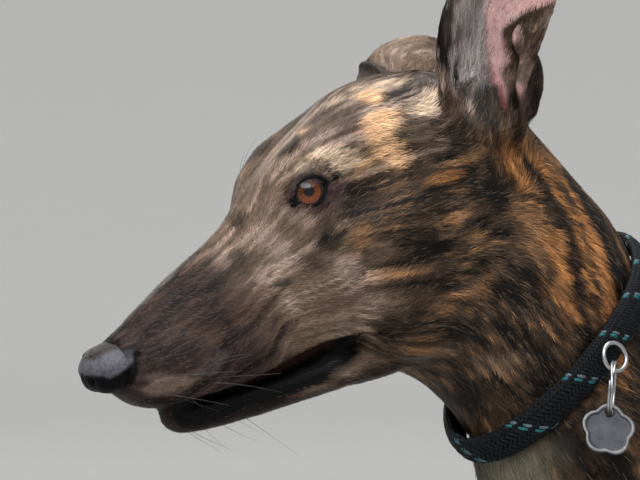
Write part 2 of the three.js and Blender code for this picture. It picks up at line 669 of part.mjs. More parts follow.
// A flattened cord swept once round the neck, as rows of section points.
function collarSolid(skin, clear) {
  const turns = 36;
  const around = 8;
  const points = [];
  for (let i = 0; i < turns; i += 1) {
    const angle = (i / turns) * 2 * Math.PI;
    const centre = aroundNeck(skin, angle, COLLAR.thickness / 2 + 1);
    const out = aroundNeck(skin, angle, 20).sub(aroundNeck(skin, angle, 0)).normalize();
    for (let k = 0; k < around; k += 1) {
      const turn = (k / around) * 2 * Math.PI;
      points.push(
        centre
          .clone()
          .addScaledVector(out, (COLLAR.thickness / 2 + clear) * Math.sin(turn))
          .addScaledVector(collarAxis, (COLLAR.width / 2 + clear) * Math.cos(turn)),
      );
    }
  }
  const faces = [];
  for (let i = 0; i < turns; i += 1) {
    for (let k = 0; k < around; k += 1) {
      const [i1, k1] = [(i + 1) % turns, (k + 1) % around];
      const [a, b, c, d] = [i * around + k, i * around + k1, i1 * around + k1, i1 * around + k];
      faces.push(a, b, c, a, c, d);
    }
  }
  return closedSolid(points, faces);
}

const part = new THREE.Group();
const headGroup = new THREE.Group();
headGroup.position.copy(NOSE_TIP);
headGroup.rotation.set(degrees(HEAD_PITCH), 0, degrees(-HEAD_YAW), "ZXY");
headGroup.updateMatrix();
part.add(headGroup);

const add = (group, name, solid, material) => {
  const mesh = new THREE.Mesh(toGeometry(solid), material);
  mesh.name = name;
  group.add(mesh);
};

// The head
const headMatrix = headGroup.matrix;
const neckOfHead = (p) => neckField(p.clone().applyMatrix4(headMatrix));
const headOfBody = (p) => headField(p.clone().applyMatrix4(headMatrix.clone().invert()));
const napeFace = plane(nape.through, nape.towards);
const napeInBody = plane(
  vec(nape.through).applyMatrix4(headMatrix).toArray(),
  vec(nape.towards).transformDirection(headMatrix).toArray(),
);
const skullField = endedBy(melt(12, headField, neckOfHead), napeFace);
const skull = (level) => cast(skullField, headLine, 36, { level, dome: 4 });
const noseSpace = nose(GAP);
const ears = { left: leaf(leftEarRows), right: leaf(rightEarRows) };
const lids = fuse(lidBall(LEFT), lidBall(RIGHT));
const eyeOpenings = [LEFT, RIGHT].flatMap((s) => [eyeSocket(s), almondOpening(s)]);
const nostrils = [LEFT, RIGHT].flatMap((s) => [nostril(s), nostrilSlit(s)]);
const headSpace = fuse(skull(GAP), lids);
add(headGroup, "head", cut(fuse(skull(0), lids), napeFace.front(), ...eyeOpenings, noseSpace), brindle);
add(headGroup, "lower_jaw", cut(fuse(jawSolid(0), gumSolid()), headSpace), muzzleCoat);
add(headGroup, "nose", cut(nose(0), ...nostrils), noseLeather);
add(headGroup, "eye_left", ball(EYE_RADIUS, eyeCentre(LEFT)), eyeball);
add(headGroup, "eye_right", ball(EYE_RADIUS, eyeCentre(RIGHT)), eyeball);

// The trunk
const neckSkin = melt(14, neckField, headOfBody, torsoField);
const neckForm = endedBy(endedBy(neckSkin, napeInBody.flipped()), neckBase);
const neck = (level) => cast(neckForm, neckLine, 24, { level, rings: 2, dome: 3 });
const torsoForm = endedBy(melt(20, torsoField, neckField), neckBase.flipped());
const torso = (level) => cast(torsoForm, torsoLine, 24, { level, rings: 2, dome: 3 });
const neckSpace = neck(GAP);
const torsoSpace = torso(GAP);
const jawInBody = moved(jawSolid(GAP), headMatrix);
const neckEnds = [napeInBody.flipped().front(-GAP), neckBase.front()];
add(part, "neck", cut(neck(0), ...neckEnds, jawInBody, collarSolid(neckSkin, GAP)), brindle);
add(part, "torso", cut(torso(0), neckBase.flipped().front(-GAP)), brindle);

// The ears
const neckByHead = moved(neckSpace, headMatrix.clone().invert());
add(headGroup, "ear_left", cut(ears.left, headSpace, neckByHead), earCoat);
add(headGroup, "ear_right", cut(ears.right, headSpace, neckByHead), earCoat);

// The legs
for (const [word, s] of [["left", LEFT], ["right", RIGHT]]) {
  const shoulder = (level) => cast(shoulderField(s), shoulderLine(s), 15, { level, rings: 2 });
  const forearm = (level) =>
    cast(limb(forearmStations(s)), along(forearmStations(s)), 12, { level, dome: 2 });
  const thigh = (level) => cast(thighField(s), thighLine(s), 16, { level, rings: 2 });
  const shank = (level) => cast(shankField(s), along(shankStations(s)), 14, { level, rings: 2, dome: 2 });
  const hock = (level) => cast(hockField(s), along(hockStations(s)), 14, { level, dome: 3 });
  const feet = { fore: foreFoot(s), hind: hindFoot(s) };
  add(part, `shoulder_${word}`, cut(shoulder(0), torsoSpace, neckSpace), brindle);
  add(part, `forearm_${word}`, cut(forearm(0), shoulder(GAP), torsoSpace), brindle);
  add(part, `forefoot_${word}`, cut(footSolid(feet.fore, 0), forearm(GAP)).subtract(floorBlock), brindle);
  add(part, `thigh_${word}`, cut(thigh(0), torsoSpace), brindle);
  add(part, `shank_${word}`, cut(shank(0), thigh(GAP), torsoSpace), brindle);
  add(part, `hock_${word}`, cut(hock(0), shank(GAP)), brindle);
  add(part, `hindfoot_${word}`, cut(footSolid(feet.hind, 0), hock(GAP)).subtract(floorBlock), brindle);
  for (const [end, foot] of Object.entries(feet)) {
    const footSpace = footSolid(foot, GAP);
    TOES.forEach((_, k) => {
      add(part, `claw_${end}_${word}_${k + 1}`, cut(clawSolid(foot, k), footSpace), claw);
    });
  }
}

// The tail
add(part, "tail_base", cut(tailPiece(0, 3, 10), torsoSpace), brindle);
add(part, "tail_middle", cut(tailPiece(3, 6, 10), tailPiece(0, 3, 10, GAP)), brindle);
add(part, "tail_tip", cut(tailPiece(6, 8, 8), tailPiece(3, 6, 10, GAP)), brindle);

// The collar
add(part, "collar", collarSolid(neckSkin, 0), cord);

// A link hangs on the collar, a split ring in the link, and a tag cut like a paw's outline on the
// split ring.
const hang = vec(HANG.top);
const fall = vec(HANG.tag).sub(hang).normalize();
const outward = vec(HANG.outward).addScaledVector(fall, -vec(HANG.outward).dot(fall)).normalize();
const sideways = outward.clone().cross(fall);
// A frame that hangs a distance down, with +Y up along the fall and +Z out from the neck, turned
// about the fall.
const hung = (distance, turn) => {
  const frame = new THREE.Matrix4().makeBasis(sideways, fall.clone().negate(), outward);
  frame.multiply(new THREE.Matrix4().makeRotationY(degrees(turn)));
  return frame.setPosition(hang.clone().addScaledVector(fall, distance));
};
const ringSolid = ({ radius, wire }, matrix) =>
  toSolid(new THREE.TorusGeometry(radius, wire, 6, 16).applyMatrix4(matrix));
const splitAt = LINK.radius * 2 - LINK.wire - SPLIT_RING.wire - GAP + SPLIT_RING.radius;
const holeAt = splitAt + SPLIT_RING.radius - TAG.hole + SPLIT_RING.wire + GAP;
const holeHeight = (TAG.height / 2) * (1 + TAG.lobe) - TAG.hole - TAG.rim;
const tagOutline = () => {
  const shape = new THREE.Shape();
  const steps = 40;
  for (let i = 0; i < steps; i += 1) {
    const angle = (i / steps) * 2 * Math.PI + Math.PI / 2;
    const lobe = 1 + TAG.lobe * Math.abs(Math.cos(2.5 * (angle - Math.PI / 2)));
    const [x, y] = [(TAG.width / 2) * lobe * Math.cos(angle), (TAG.height / 2) * lobe * Math.sin(angle)];
    if (i === 0) shape.moveTo(x, y);
    else shape.lineTo(x, y);
  }
  shape.holes.push(new THREE.Path().absarc(0, holeHeight, TAG.hole, 0, 2 * Math.PI, true));
  return shape;
};
const plateDepth = { depth: TAG.thickness, bevelEnabled: false, curveSegments: 6 };
const tagPlate = new THREE.ExtrudeGeometry(tagOutline(), plateDepth);
tagPlate.translate(0, -holeHeight, -TAG.thickness / 2);
add(part, "link", ringSolid(LINK, hung(LINK.radius, 20)), steel);
add(part, "split_ring", ringSolid(SPLIT_RING, hung(splitAt, 70)), steel);
add(part, "tag", toSolid(tagPlate.applyMatrix4(hung(holeAt, -10))), steel);

// The origin is on the floor under the middle of the dog's own box.
const size = new THREE.Box3().setFromObject(part, true);
part.position.set(-(size.min.x + size.max.x) / 2, -(size.min.y + size.max.y) / 2, -size.min.z);

export default part;
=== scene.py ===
# %% [markdown]
# # A brindle greyhound
# This lesson dresses the solid model of a standing greyhound: skin, short coat, eyes, nose leather, claws, and the
# braided collar with its ring and tag. The solids are a fixed frame, already at life size and in the right pose, so
# every piece is measured from them and nothing is moved to fit. Lengths are in millimetres inside the script, and
# each mesh is written in metres, Blender's own unit.

# %% Load the frame
import math
from collections import namedtuple

import bmesh
import bpy
import numpy as np
from mathutils.bvhtree import BVHTree
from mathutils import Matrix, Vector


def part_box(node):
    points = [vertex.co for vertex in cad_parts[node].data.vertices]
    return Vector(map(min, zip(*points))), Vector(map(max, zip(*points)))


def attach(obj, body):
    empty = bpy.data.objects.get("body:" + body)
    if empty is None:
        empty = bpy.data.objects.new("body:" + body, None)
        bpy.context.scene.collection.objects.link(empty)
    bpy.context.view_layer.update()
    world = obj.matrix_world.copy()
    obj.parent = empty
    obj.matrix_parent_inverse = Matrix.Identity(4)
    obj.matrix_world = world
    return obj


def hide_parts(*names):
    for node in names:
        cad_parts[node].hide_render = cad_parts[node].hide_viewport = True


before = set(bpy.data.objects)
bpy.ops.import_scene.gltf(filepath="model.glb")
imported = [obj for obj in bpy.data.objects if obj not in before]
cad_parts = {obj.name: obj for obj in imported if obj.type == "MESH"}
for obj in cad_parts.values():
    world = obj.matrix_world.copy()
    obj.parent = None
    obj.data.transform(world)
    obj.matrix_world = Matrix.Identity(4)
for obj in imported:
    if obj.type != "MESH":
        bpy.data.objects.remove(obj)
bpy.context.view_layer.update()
MM = 0.001
LEFT, RIGHT = 1, -1
print(len(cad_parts), "nodes in the frame")

# %% [markdown]
# ## Two sets of axes
# The head is turned and tilted, so its features are placed in axes of its own: the nose tip is the origin, x runs to
# the dog's left, y back along the skull and z up. Both eyeballs are nodes of the frame, and their middle fixes where
# those axes stand. The body's axes are those of the frame, with the origin on the floor below the middle of the back.

# %% The head's axes and the body's
HEAD_PITCH = math.radians(18)
HEAD_YAW = math.radians(23)
LEFT_EYE = np.array((21.5, 116.5, 43.2))
EYE_MIDDLE = LEFT_EYE * (0, 1, 1)
NOSE_TIP_IN_BODY = np.array((-122, -588, 746))


def unit(vectors):
    return vectors / np.maximum(np.linalg.norm(vectors, axis=-1, keepdims=True), 1e-9)


def middle_of(node):
    low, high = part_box(node)
    return (np.array(low) + np.array(high)) / 2 / MM


head_left = np.array((math.cos(HEAD_YAW), -math.sin(HEAD_YAW), 0))
level_back = np.array((math.sin(HEAD_YAW), math.cos(HEAD_YAW), 0))
head_back = level_back * math.cos(HEAD_PITCH) + np.array((0, 0, math.sin(HEAD_PITCH)))
HEAD_AXES = np.array((head_left, head_back, np.cross(head_left, head_back)))
nose_tip = (middle_of("eye_left") + middle_of("eye_right")) / 2 - EYE_MIDDLE @ HEAD_AXES


def to_head(points):
    return (np.asarray(points, float) - nose_tip) @ HEAD_AXES.T


def one_sided(q):
    """Points of the head with both its sides laid on the left one."""
    return np.column_stack((np.abs(q[:, 0]), q[:, 1:]))


def from_head(points):
    return np.asarray(points, float) @ HEAD_AXES + nose_tip


def from_body(points):
    return np.asarray(points, float) + nose_tip - NOSE_TIP_IN_BODY


def to_body(points):
    return np.asarray(points, float) - nose_tip + NOSE_TIP_IN_BODY


print("nose tip", nose_tip.round(1), "mm")

# %% [markdown]
# ## Small helpers
# Smooth steps blend one form or colour into another, and value noise breaks up what would look too even. The noise is
# worked out from whole-number corners of a grid, so it gives the same figure each time, with no random state.

# %% Steps and noise


def step(low, high, value):
    t = np.clip((value - low) / (high - low), 0, 1)
    return t * t * (3 - 2 * t)


def blend(a, b, share):
    return a + (b - a) * share


def stretch(low, rise, fall, high, value):
    """0 up to low, 1 from rise to fall, and 0 again from high on."""
    return step(low, rise, value) * (1 - step(fall, high, value))


def groove(distance, width):
    return np.exp(-((distance / width) ** 2))


def noise(points, size, seed=0):
    """Smooth noise from -1 to 1 whose lumps are about one size across."""
    q = np.asarray(points, float) / size + 1000
    cell = np.floor(q).astype(np.int64)
    f = q - cell
    f = f * f * (3 - 2 * f)
    total = np.zeros(len(q))
    for corner in np.ndindex(2, 2, 2):
        x, y, z = (cell + corner).T
        h = (x * 73856093 ^ y * 19349663 ^ z * 83492791 ^ (seed + 1) * 2654435761) & 0xFFFFFFFF
        h = ((h ^ (h >> 13)) * 1274126177) & 0xFFFFFFFF
        h = ((h ^ (h >> 16)) * 668265263) & 0xFFFFFFFF
        weight = np.prod(np.where(corner, f, 1 - f), axis=1)
        total += weight * ((h ^ (h >> 15)) & 0xFFFF) / 0xFFFF
    return total * 2 - 1


def rough_noise(points, size, seed=0):
    coarse, medium = noise(points, size, seed), noise(points, size / 2.1, seed + 7)
    return (coarse + medium / 2 + noise(points, size / 4.3, seed + 13) / 4) / 1.5


# %% [markdown]
# ## Meshes from arrays
# Blender copies whole arrays in and out of a mesh in one call, which is far faster than a loop over its vertices.

# %% Arrays in and out of meshes


def mesh_from(name, points, faces, smooth=True):
    """A mesh from points in millimetres and faces that all have the same number of corners."""
    mesh = bpy.data.meshes.new(name)
    faces = np.asarray(faces, np.int32)
    mesh.vertices.add(len(points))
    mesh.vertices.foreach_set("co", (np.asarray(points) * MM).astype(np.float32).ravel())
    if len(faces):
        mesh.loops.add(faces.size)
        mesh.loops.foreach_set("vertex_index", faces.ravel())
        mesh.polygons.add(len(faces))
        mesh.polygons.foreach_set("loop_start", np.arange(len(faces), dtype=np.int32) * faces.shape[1])
    mesh.update(calc_edges=True)
    if smooth and len(faces):
        mesh.shade_smooth()
    return mesh


def ring_faces(rings, sides, closed=False):
    """Quads between rings of points. Closed joins the last ring to the first."""
    index = np.arange(rings * sides).reshape(rings, sides)
    index = np.vstack((index, index[:1])) if closed else index
    following = np.roll(index, -1, axis=1)
    return np.stack((index[:-1], following[:-1], following[1:], index[1:]), axis=-1).reshape(-1, 4)


def object_from(mesh):
    piece = bpy.data.objects.new(mesh.name, mesh)
    bpy.context.scene.collection.objects.link(piece)
    return piece


def fit_out(piece, slot, *nodes):
    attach(piece, "root")
    if nodes:
        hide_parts(*nodes)


def read(collection, field, width, kind=np.float32):
    values = np.empty(len(collection) * width, kind)
    collection.foreach_get(field, values)
    return values.reshape(-1, width)


def points_of(mesh):
    return read(mesh.vertices, "co", 3).astype(float) / MM


def triangles_of(mesh):
    mesh.calc_loop_triangles()
    return read(mesh.loop_triangles, "vertices", 3, np.int32)


def set_points(mesh, points):
    mesh.vertices.foreach_set("co", (points * MM).astype(np.float32).ravel())
    mesh.update()


# %% Normals, merged solids and modifiers


def outward(points, triangles):
    a, b, c = (points[triangles[:, k]] for k in range(3))
    face = np.cross(b - a, c - a)
    corners = triangles.T.ravel()
    sums = [np.bincount(corners, np.tile(face[:, axis], 3), len(points)) for axis in range(3)]
    return unit(np.array(sums).T)


def evaluated(piece):
    """A plain mesh of a piece with its modifiers applied. The piece itself is removed."""
    graph = bpy.context.evaluated_depsgraph_get()
    mesh = bpy.data.meshes.new_from_object(piece.evaluated_get(graph))
    bpy.data.objects.remove(piece)
    return mesh


def welded(node):
    """A frame node's points and triangles, with the corners that its triangles share merged."""
    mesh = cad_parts[node].data
    points, triangles = points_of(mesh), triangles_of(mesh)
    microns = np.round(points * 1000).astype(np.int64)
    _, first, place = np.unique(microns, axis=0, return_index=True, return_inverse=True)
    return points[first], place.reshape(-1)[triangles]


def grown(points, triangles, distance):
    return points + outward(points, triangles) * distance, triangles


def joined(parts):
    starts = np.cumsum([0] + [len(points) for points, _ in parts[:-1]])
    return np.vstack([p for p, _ in parts]), np.vstack([t + s for (_, t), s in zip(parts, starts)])


def with_modifier(parts, kind, **settings):
    piece = object_from(mesh_from("work", *joined(parts)))
    modifier = piece.modifiers.new("Work", kind)
    for name, value in settings.items():
        setattr(modifier, name, value)
    return evaluated(piece)


def remeshed(parts, voxel):
    return with_modifier(parts, "REMESH", mode="VOXEL", voxel_size=voxel * MM, use_smooth_shade=True)


def rounded(parts, levels):
    return with_modifier(parts, "SUBSURF", levels=levels, render_levels=levels)


def relaxed(points, edges, rounds):
    """Each point drawn towards the mean of its neighbours, for its own number of rounds."""
    ends = np.concatenate((edges[:, 0], edges[:, 1]))
    others = np.concatenate((edges[:, 1], edges[:, 0]))
    degree = np.maximum(np.bincount(ends, minlength=len(points)), 1)[:, None]
    for done in range(int(rounds.max()) + 1):
        pull = np.clip(rounds - done, 0, 1)[:, None] * 0.5
        mean = np.array([np.bincount(ends, points[others, k], len(points)) for k in range(3)]).T / degree
        points = points + (mean - points) * pull
    return points


# %% [markdown]
# ## Shader maths as Python
# A material is a small program. Here one class wraps a socket so that ordinary operators add the Math nodes, and one
# method adds any other node.

# %% Sockets and materials


class Number:
    """A socket that Python's operators work on."""

    def __init__(self, finish, socket):
        self.finish = finish
        self.socket = socket

    def math(self, operation, *others):
        return self.finish.add("Math", {"operation": operation}, dict(enumerate((self, *others))))

    def __add__(self, other):
        return self.math("ADD", other)

    __radd__ = __add__

    def __mul__(self, other):
        return self.math("MULTIPLY", other)

    __rmul__ = __mul__

    def __sub__(self, other):
        return self.math("SUBTRACT", other)

    def __rsub__(self, other):
        return self * -1 + other


# %% Materials


class Finish:
    """A material with one Principled shader; constants go straight onto the shader's sockets."""

    def __init__(self, name, **constants):
        self.material = bpy.data.materials.new(name)
        self.material.use_nodes = True
        self.nodes = self.material.node_tree.nodes
        self.links = self.material.node_tree.links
        self.shader = self.nodes["Principled BSDF"]
        for socket, value in constants.items():
            self.shader.inputs[socket.replace("_", " ")].default_value = value

    def add(self, kind, settings, inputs, output=0):
        node = self.nodes.new("ShaderNode" + kind)
        for name, value in settings.items():
            if name == "stops":
                self.set_stops(node.color_ramp, value)
            else:
                setattr(node, name, value)
        for name, value in inputs.items():
            self.set(node.inputs[name], value)
        return Number(self, node.outputs[output])

    def set_stops(self, ramp, stops):
        while len(ramp.elements) < len(stops):
            ramp.elements.new(0.5)
        for element, (place, color) in zip(ramp.elements, stops):
            element.position = place
            element.color = (*color, 1)

    def set(self, socket, value):
        if isinstance(value, Number):
            self.links.new(value.socket, socket)
        elif hasattr(value, "__len__") and len(value) == 3 and socket.type == "RGBA":
            socket.default_value = (*value, 1)
        else:
            socket.default_value = value

    def feed(self, **sockets):
        for name, value in sockets.items():
            self.set(self.shader.inputs[name.replace("_", " ")], value)
        return self

    def place(self):
        return self.add("TexCoord", {}, {}, "Object")

    def noise(self, scale, detail=3, roughness=0.5):
        sockets = {"Vector": self.place(), "Scale": scale, "Detail": detail, "Roughness": roughness}
        return self.add("TexNoise", {}, sockets, "Fac")

    def cells(self, scale):
        return self.add("TexVoronoi", {}, {"Vector": self.place(), "Scale": scale}, "Distance")

    def attribute(self, name):
        return self.add("Attribute", {"attribute_name": name}, {}, "Color")

    def mix(self, a, b, share, blend_type="MIX"):
        return self.add("Mix", {"data_type": "RGBA", "blend_type": blend_type}, {0: share, 6: a, 7: b}, 2)

    def ramp(self, value, *stops):
        return self.add("ValToRGB", {"stops": stops}, {"Fac": value})

    def tinted(self, painted, value, *stops):
        """A colour painted on the mesh, made lighter and darker by a ramp."""
        return self.mix(self.attribute(painted), self.ramp(value, *stops), 1.0, "MULTIPLY")

    def bump(self, height, distance, strength=1.0):
        return self.add("Bump", {}, {"Height": height, "Distance": distance * MM, "Strength": strength})


def linear(color):
    """A screen colour, 0 to 1, as the amount of light that a shader works in."""
    color = np.asarray(color, float)
    return np.where(color <= 0.04045, color / 12.92, ((color + 0.055) / 1.055) ** 2.4)


# %% [markdown]
# ## Camera, light and floor
# The camera looks level at the left side of the head from about a metre and a half, through a long lens. Its frame
# cuts the neck below the collar. The light is that of open shade: an even glow all round, a broad soft lamp high on
# the camera's side, a lower one in the same direction that the eyes mirror, one overhead and a weak one on the far
# side. The floor turns up far behind in a wide curve, so that no horizon crosses the picture.

# %% Camera
CAMERA_IN_BODY = (568.756, -1251.601, 802.276)
CAMERA_AZIMUTH = math.radians(40)
LENS = 123.75
camera_data = bpy.data.cameras.new("camera")
camera_data.lens = LENS
camera_data.sensor_width = 36
camera = bpy.data.objects.new("camera", camera_data)
camera.location = from_body(CAMERA_IN_BODY) * MM
camera.rotation_euler = (math.pi / 2, 0, CAMERA_AZIMUTH)
bpy.context.scene.collection.objects.link(camera)
bpy.context.scene.camera = camera
print("camera at", [round(v, 3) for v in camera.location], "m")

# %% Lights


def soft_light(name, place, target, size, watts, color=(1, 1, 1)):
    data = bpy.data.lights.new(name, "AREA")
    data.shape = "ELLIPSE"
    data.size, data.size_y = size
    data.energy = watts
    data.color = color
    lamp = bpy.data.objects.new(name, data)
    lamp.location = place
    aim = unit(np.array(target, float) - np.array(place, float))
    lamp.rotation_euler = (math.acos(-aim[2]), 0, math.atan2(aim[1], aim[0]) - math.pi / 2)
    lamp.visible_camera = False
    bpy.context.scene.collection.objects.link(lamp)
    return lamp


head_middle = from_head((0, 120, 10)) * MM
soft_light("sky_side", (1.8, -2.2, 3.7), head_middle, (5.2, 3.2), 45, (0.94, 0.975, 1))
soft_light("window", (0.9, -1.96, 2.4), head_middle, (2.5, 1.2), 40, (0.9, 0.955, 1))
soft_light("overhead", (-0.5, -0.5, 3.8), head_middle, (2.4, 2.4), 115, (1, 0.985, 0.96))
soft_light("far_side", (-2.8, 0.8, 2.0), head_middle, (1.8, 1.8), 24, (1, 0.98, 0.95))
world = bpy.data.worlds.new("studio")
world.use_nodes = True
world.node_tree.nodes["Background"].inputs["Color"].default_value = (0.93, 0.95, 0.98, 1)
world.node_tree.nodes["Background"].inputs["Strength"].default_value = 0.85
bpy.context.scene.world = world
bpy.context.scene.view_settings.view_transform = "Standard"

# %% Floor
FLOOR_REACH = 9000
WALL_TURN = 3000
WALL_HEIGHT = 9000
FLOOR_SIDES = 96
profile = [(0.001, 0), (2000, 0), (6000, 0), (FLOOR_REACH, 0)]
profile += [
    (FLOOR_REACH + WALL_TURN * math.sin(a), WALL_TURN * (1 - math.cos(a))) for a in np.linspace(0.1, math.pi / 2, 12)
]
profile.append((FLOOR_REACH + WALL_TURN, WALL_HEIGHT))
turns = np.linspace(0, 2 * math.pi, FLOOR_SIDES, endpoint=False)
floor_points = np.array([(r * math.cos(t), r * math.sin(t), z) for r, z in profile for t in turns])
floor = object_from(mesh_from("floor", floor_points, ring_faces(len(profile), FLOOR_SIDES)))
pale = Finish("pale_floor", Roughness=0.8)
grain = pale.noise(3, 4)
metres_out = pale.add("VectorMath", {"operation": "LENGTH"}, {0: pale.place()}, "Value")
shade = pale.ramp(metres_out * 0.1, (0.12, (0.40, 0.395, 0.385)), (0.65, (0.76, 0.75, 0.73)))
pale.feed(
    Base_Color=pale.mix(shade, (0.96, 0.96, 0.96), grain * 0.12 + 0.88, "MULTIPLY"),
    Normal=pale.bump(pale.noise(60), 0.4, 0.2),
)
floor.data.materials.append(pale.material)

# %% [markdown]
# ## The lie of the body
# A few guide lines run through the head, ears, neck, trunk, legs and tail, each with the half width of the body round
# it. They say which way the hair lies at any point, how long it is, and where that point goes on an unrolled map of
# the skin. Each line is a list of stations: x, y, z and half width.

# %% Guide lines
head_line = [
    (0, 0, 0, 12), (0, 30, -5, 17), (0, 70, -2, 24), (0, 110, 8, 38), (0, 150, 12, 52), (0, 190, 6, 55),
    (0, 225, -4, 54),
]
left_ear_line = [
    (30, 207, 26, 24), (32, 211, 56, 26), (35, 219, 82, 30), (42, 232, 112, 27), (54, 246, 136, 16),
    (66, 255, 145, 6),
]
right_ear_line = [
    (-30, 203, 30, 24), (-33, 205, 52, 26), (-39, 214, 71, 25), (-49, 234, 75, 24), (-58, 257, 65, 16),
    (-62, 272, 54, 5),
]
neck_line = [
    (-44, -410, 800, 54), (-33, -388, 774, 57), (-19, -354, 733, 63), (-9, -320, 690, 78), (0, -270, 630, 95),
    (0, -215, 590, 110),
]
trunk_line = [
    (0, -330, 540, 60), (0, -240, 545, 120), (0, -150, 545, 140), (0, -40, 555, 140), (0, 60, 590, 112),
    (0, 180, 615, 90), (0, 270, 612, 84), (0, 350, 604, 40),
]
tail_line = [
    (0, 330, 632, 22), (0, 372, 594, 15), (0, 394, 535, 12), (1, 404, 462, 10), (3, 406, 385, 8),
    (6, 405, 312, 7), (12, 434, 196, 5), (14, 466, 166, 3),
]

fore_line = [
    (58, -225, 640, 34), (72, -270, 530, 38), (80, -240, 440, 34), (79, -208, 362, 25), (72, -212, 238, 15),
    (71, -215, 150, 16), (71, -226, 74, 15), (72, -240, 32, 20), (72, -285, 14, 18), (72, -302, 8, 8),
]
hind_line = [
    (52, 235, 640, 46), (62, 222, 560, 60), (74, 185, 470, 46), (79, 205, 396, 32), (76, 280, 305, 22),
    (74, 370, 222, 18), (74, 376, 132, 14), (74, 360, 76, 14), (74, 340, 34, 20), (74, 295, 14, 18), (74, 280, 8, 8),
]


# %% The guides by name


def stations(line, place):
    line = np.array(line, float)
    return place(line[:, :3]), line[:, 3]


GUIDES = {
    "head": stations(head_line, from_head),
    "ear_left": stations(left_ear_line, from_head),
    "ear_right": stations(right_ear_line, from_head),
    "neck": stations(neck_line, from_body),
    "trunk": stations(trunk_line, from_body),
    "tail": stations(tail_line, from_body),
}
for word, line in (("fore", fore_line), ("hind", hind_line)):
    for side, s in (("left", LEFT), ("right", RIGHT)):
        GUIDES[f"{word}_{side}"] = stations([(s * x, y, z, width) for x, y, z, width in line], from_body)
PARTS = list(GUIDES)
EARS = ("ear_left", "ear_right")
LEGS = ("fore_left", "fore_right", "hind_left", "hind_right")
Lie = namedtuple("Lie", "way part angle around along")


# %% Following the guides


def follow(points):
    """For each point: the way its hair lies, its part's number, and how far it is round and along that part."""
    count = len(points)
    way, nearest = np.zeros((count, 3)), np.full(count, np.inf)
    part, angle, around, along = np.zeros(count, int), np.zeros(count), np.zeros(count), np.zeros(count)
    for number, (line, width) in enumerate(GUIDES.values()):
        tangents = unit(np.gradient(line, axis=0))
        side = unit(np.cross(tangents[0], (0.3, 1, 0.2)))
        start = 0
        for k in range(len(line) - 1):
            axis = line[k + 1] - line[k]
            length = np.linalg.norm(axis)
            axis = axis / length
            side = unit(side - axis * (side @ axis))
            third = np.cross(axis, side)
            t = np.clip((points - line[k]) @ axis / length, 0, 1)
            off = points - line[k] - np.outer(t * length, axis)
            far = np.linalg.norm(off, axis=1) / blend(width[k], width[k + 1], t)
            weight = np.maximum(far, 0.3) ** -8
            way += weight[:, None] * blend(tangents[k], tangents[k + 1], t[:, None])
            closer = far < nearest
            nearest = np.where(closer, far, nearest)
            part[closer] = number
            angle[closer] = np.arctan2(off @ third, off @ side)[closer]
            around[closer] = angle[closer] * blend(width[k], width[k + 1], t)[closer]
            along[closer] = (start + t * length)[closer]
            start += length
    return Lie(unit(way), part, angle, around, along)


# %% [markdown]
# ## The eye's own axes
# Each eyeball looks out and a little forward. Distances round its opening are measured on the ball: back towards the
# outer corner, and up. The opening is an almond, higher in front, and the lids are the skin just outside it.

# %% Eye sizes and the almond opening
EYE_RADIUS = 10.5
LID_THICKNESS = 0.9
EYE_AREA = 17
ALMOND = {"middle": 2.7, "half": 7.0, "rise": 5.0, "drop": 6.2, "tilt": math.radians(9)}


def eye_axes(s):
    centre = LEFT_EYE * (s, 1, 1)
    out = unit(np.array((s * 0.87, -0.48, 0.1)))
    back = unit(np.array((0, 1, 0)) - out * out[1])
    turn = ALMOND["tilt"]
    up = np.cross(out, back) * s
    tilted_back = unit(back * math.cos(turn) + up * math.sin(turn))
    return centre, out, tilted_back, unit(up * math.cos(turn) - back * math.sin(turn))


def almond_height(back, up):
    t = np.clip(np.abs(back - ALMOND["middle"]) / ALMOND["half"], 0, 1)
    shape = np.maximum(1 - t**2.1, 0) ** 0.8
    return np.where(up > 0, ALMOND["rise"], ALMOND["drop"] * (1 - 0.03 * back)) * shape


def lid_distance(points, s):
    """How far outside the almond a point is, in millimetres on the ball, with its distance from the ball's centre."""
    centre, out, back, up = eye_axes(s)
    q = points - centre
    r = np.linalg.norm(q, axis=1)
    direction = q / np.maximum(r, 1e-6)[:, None]
    b, u = direction @ back * EYE_RADIUS, direction @ up * EYE_RADIUS
    past = np.maximum(np.abs(b - ALMOND["middle"]) - ALMOND["half"], 0)
    beyond = np.hypot(np.abs(u) - almond_height(b, u), past)
    inside = (np.abs(u) < almond_height(b, u)) & (past == 0)
    distance = np.where(inside, np.abs(u) - almond_height(b, u), beyond)
    return np.where(direction @ out > 0, distance, 30), r, b, u


def past_rim(distance, b, u):
    """How far past the black rim of the lids a point is. The rim is broad above and runs forward in a short wedge."""
    wedge = step(ALMOND["middle"] - 5, ALMOND["middle"] - 8, b) * step(2.8, 1.2, np.abs(u + 1.4))
    return distance - 0.5 * (u > 0) - 2.4 * wedge


# %% [markdown]
# ## The mouth line
# The upper lip hangs over the lower one. Its edge is a gentle curve from the front of the mouth to the corner below
# the eye; behind the front teeth the lips part, and the dark inner side of the lower lip shows between them.

# %% Lips
UPPER_LIP = np.array(
    ((24, -25), (37, -26), (51, -27.5), (60, -27.5), (70, -27), (80, -25.5), (92, -23.5), (105, -22.5), (115, -23))
)
LIP_PARTING = np.array(((24, 1.2), (40, 2.2), (60, 2.6), (72, 4), (85, 6.4), (100, 7), (110, 4.5), (117, 0.6)))
MOUTH_CORNER = 117


def lip_edge(y):
    return np.interp(y, *UPPER_LIP.T)


def parting(y):
    return np.interp(y, *LIP_PARTING.T)


# %% The slit beside each nostril
NOSTRIL_SLIT = np.array(((21.5, 0), (20, 1), (18.8, -2.5), (17.5, -6), (14.5, -10.5)))
NOSE_BLACK = linear((0.012, 0.011, 0.012))
NOSE_HIGHLIGHT_GREY = linear((0.33, 0.325, 0.345))
NOSE_BROWN = linear((0.17, 0.15, 0.14))
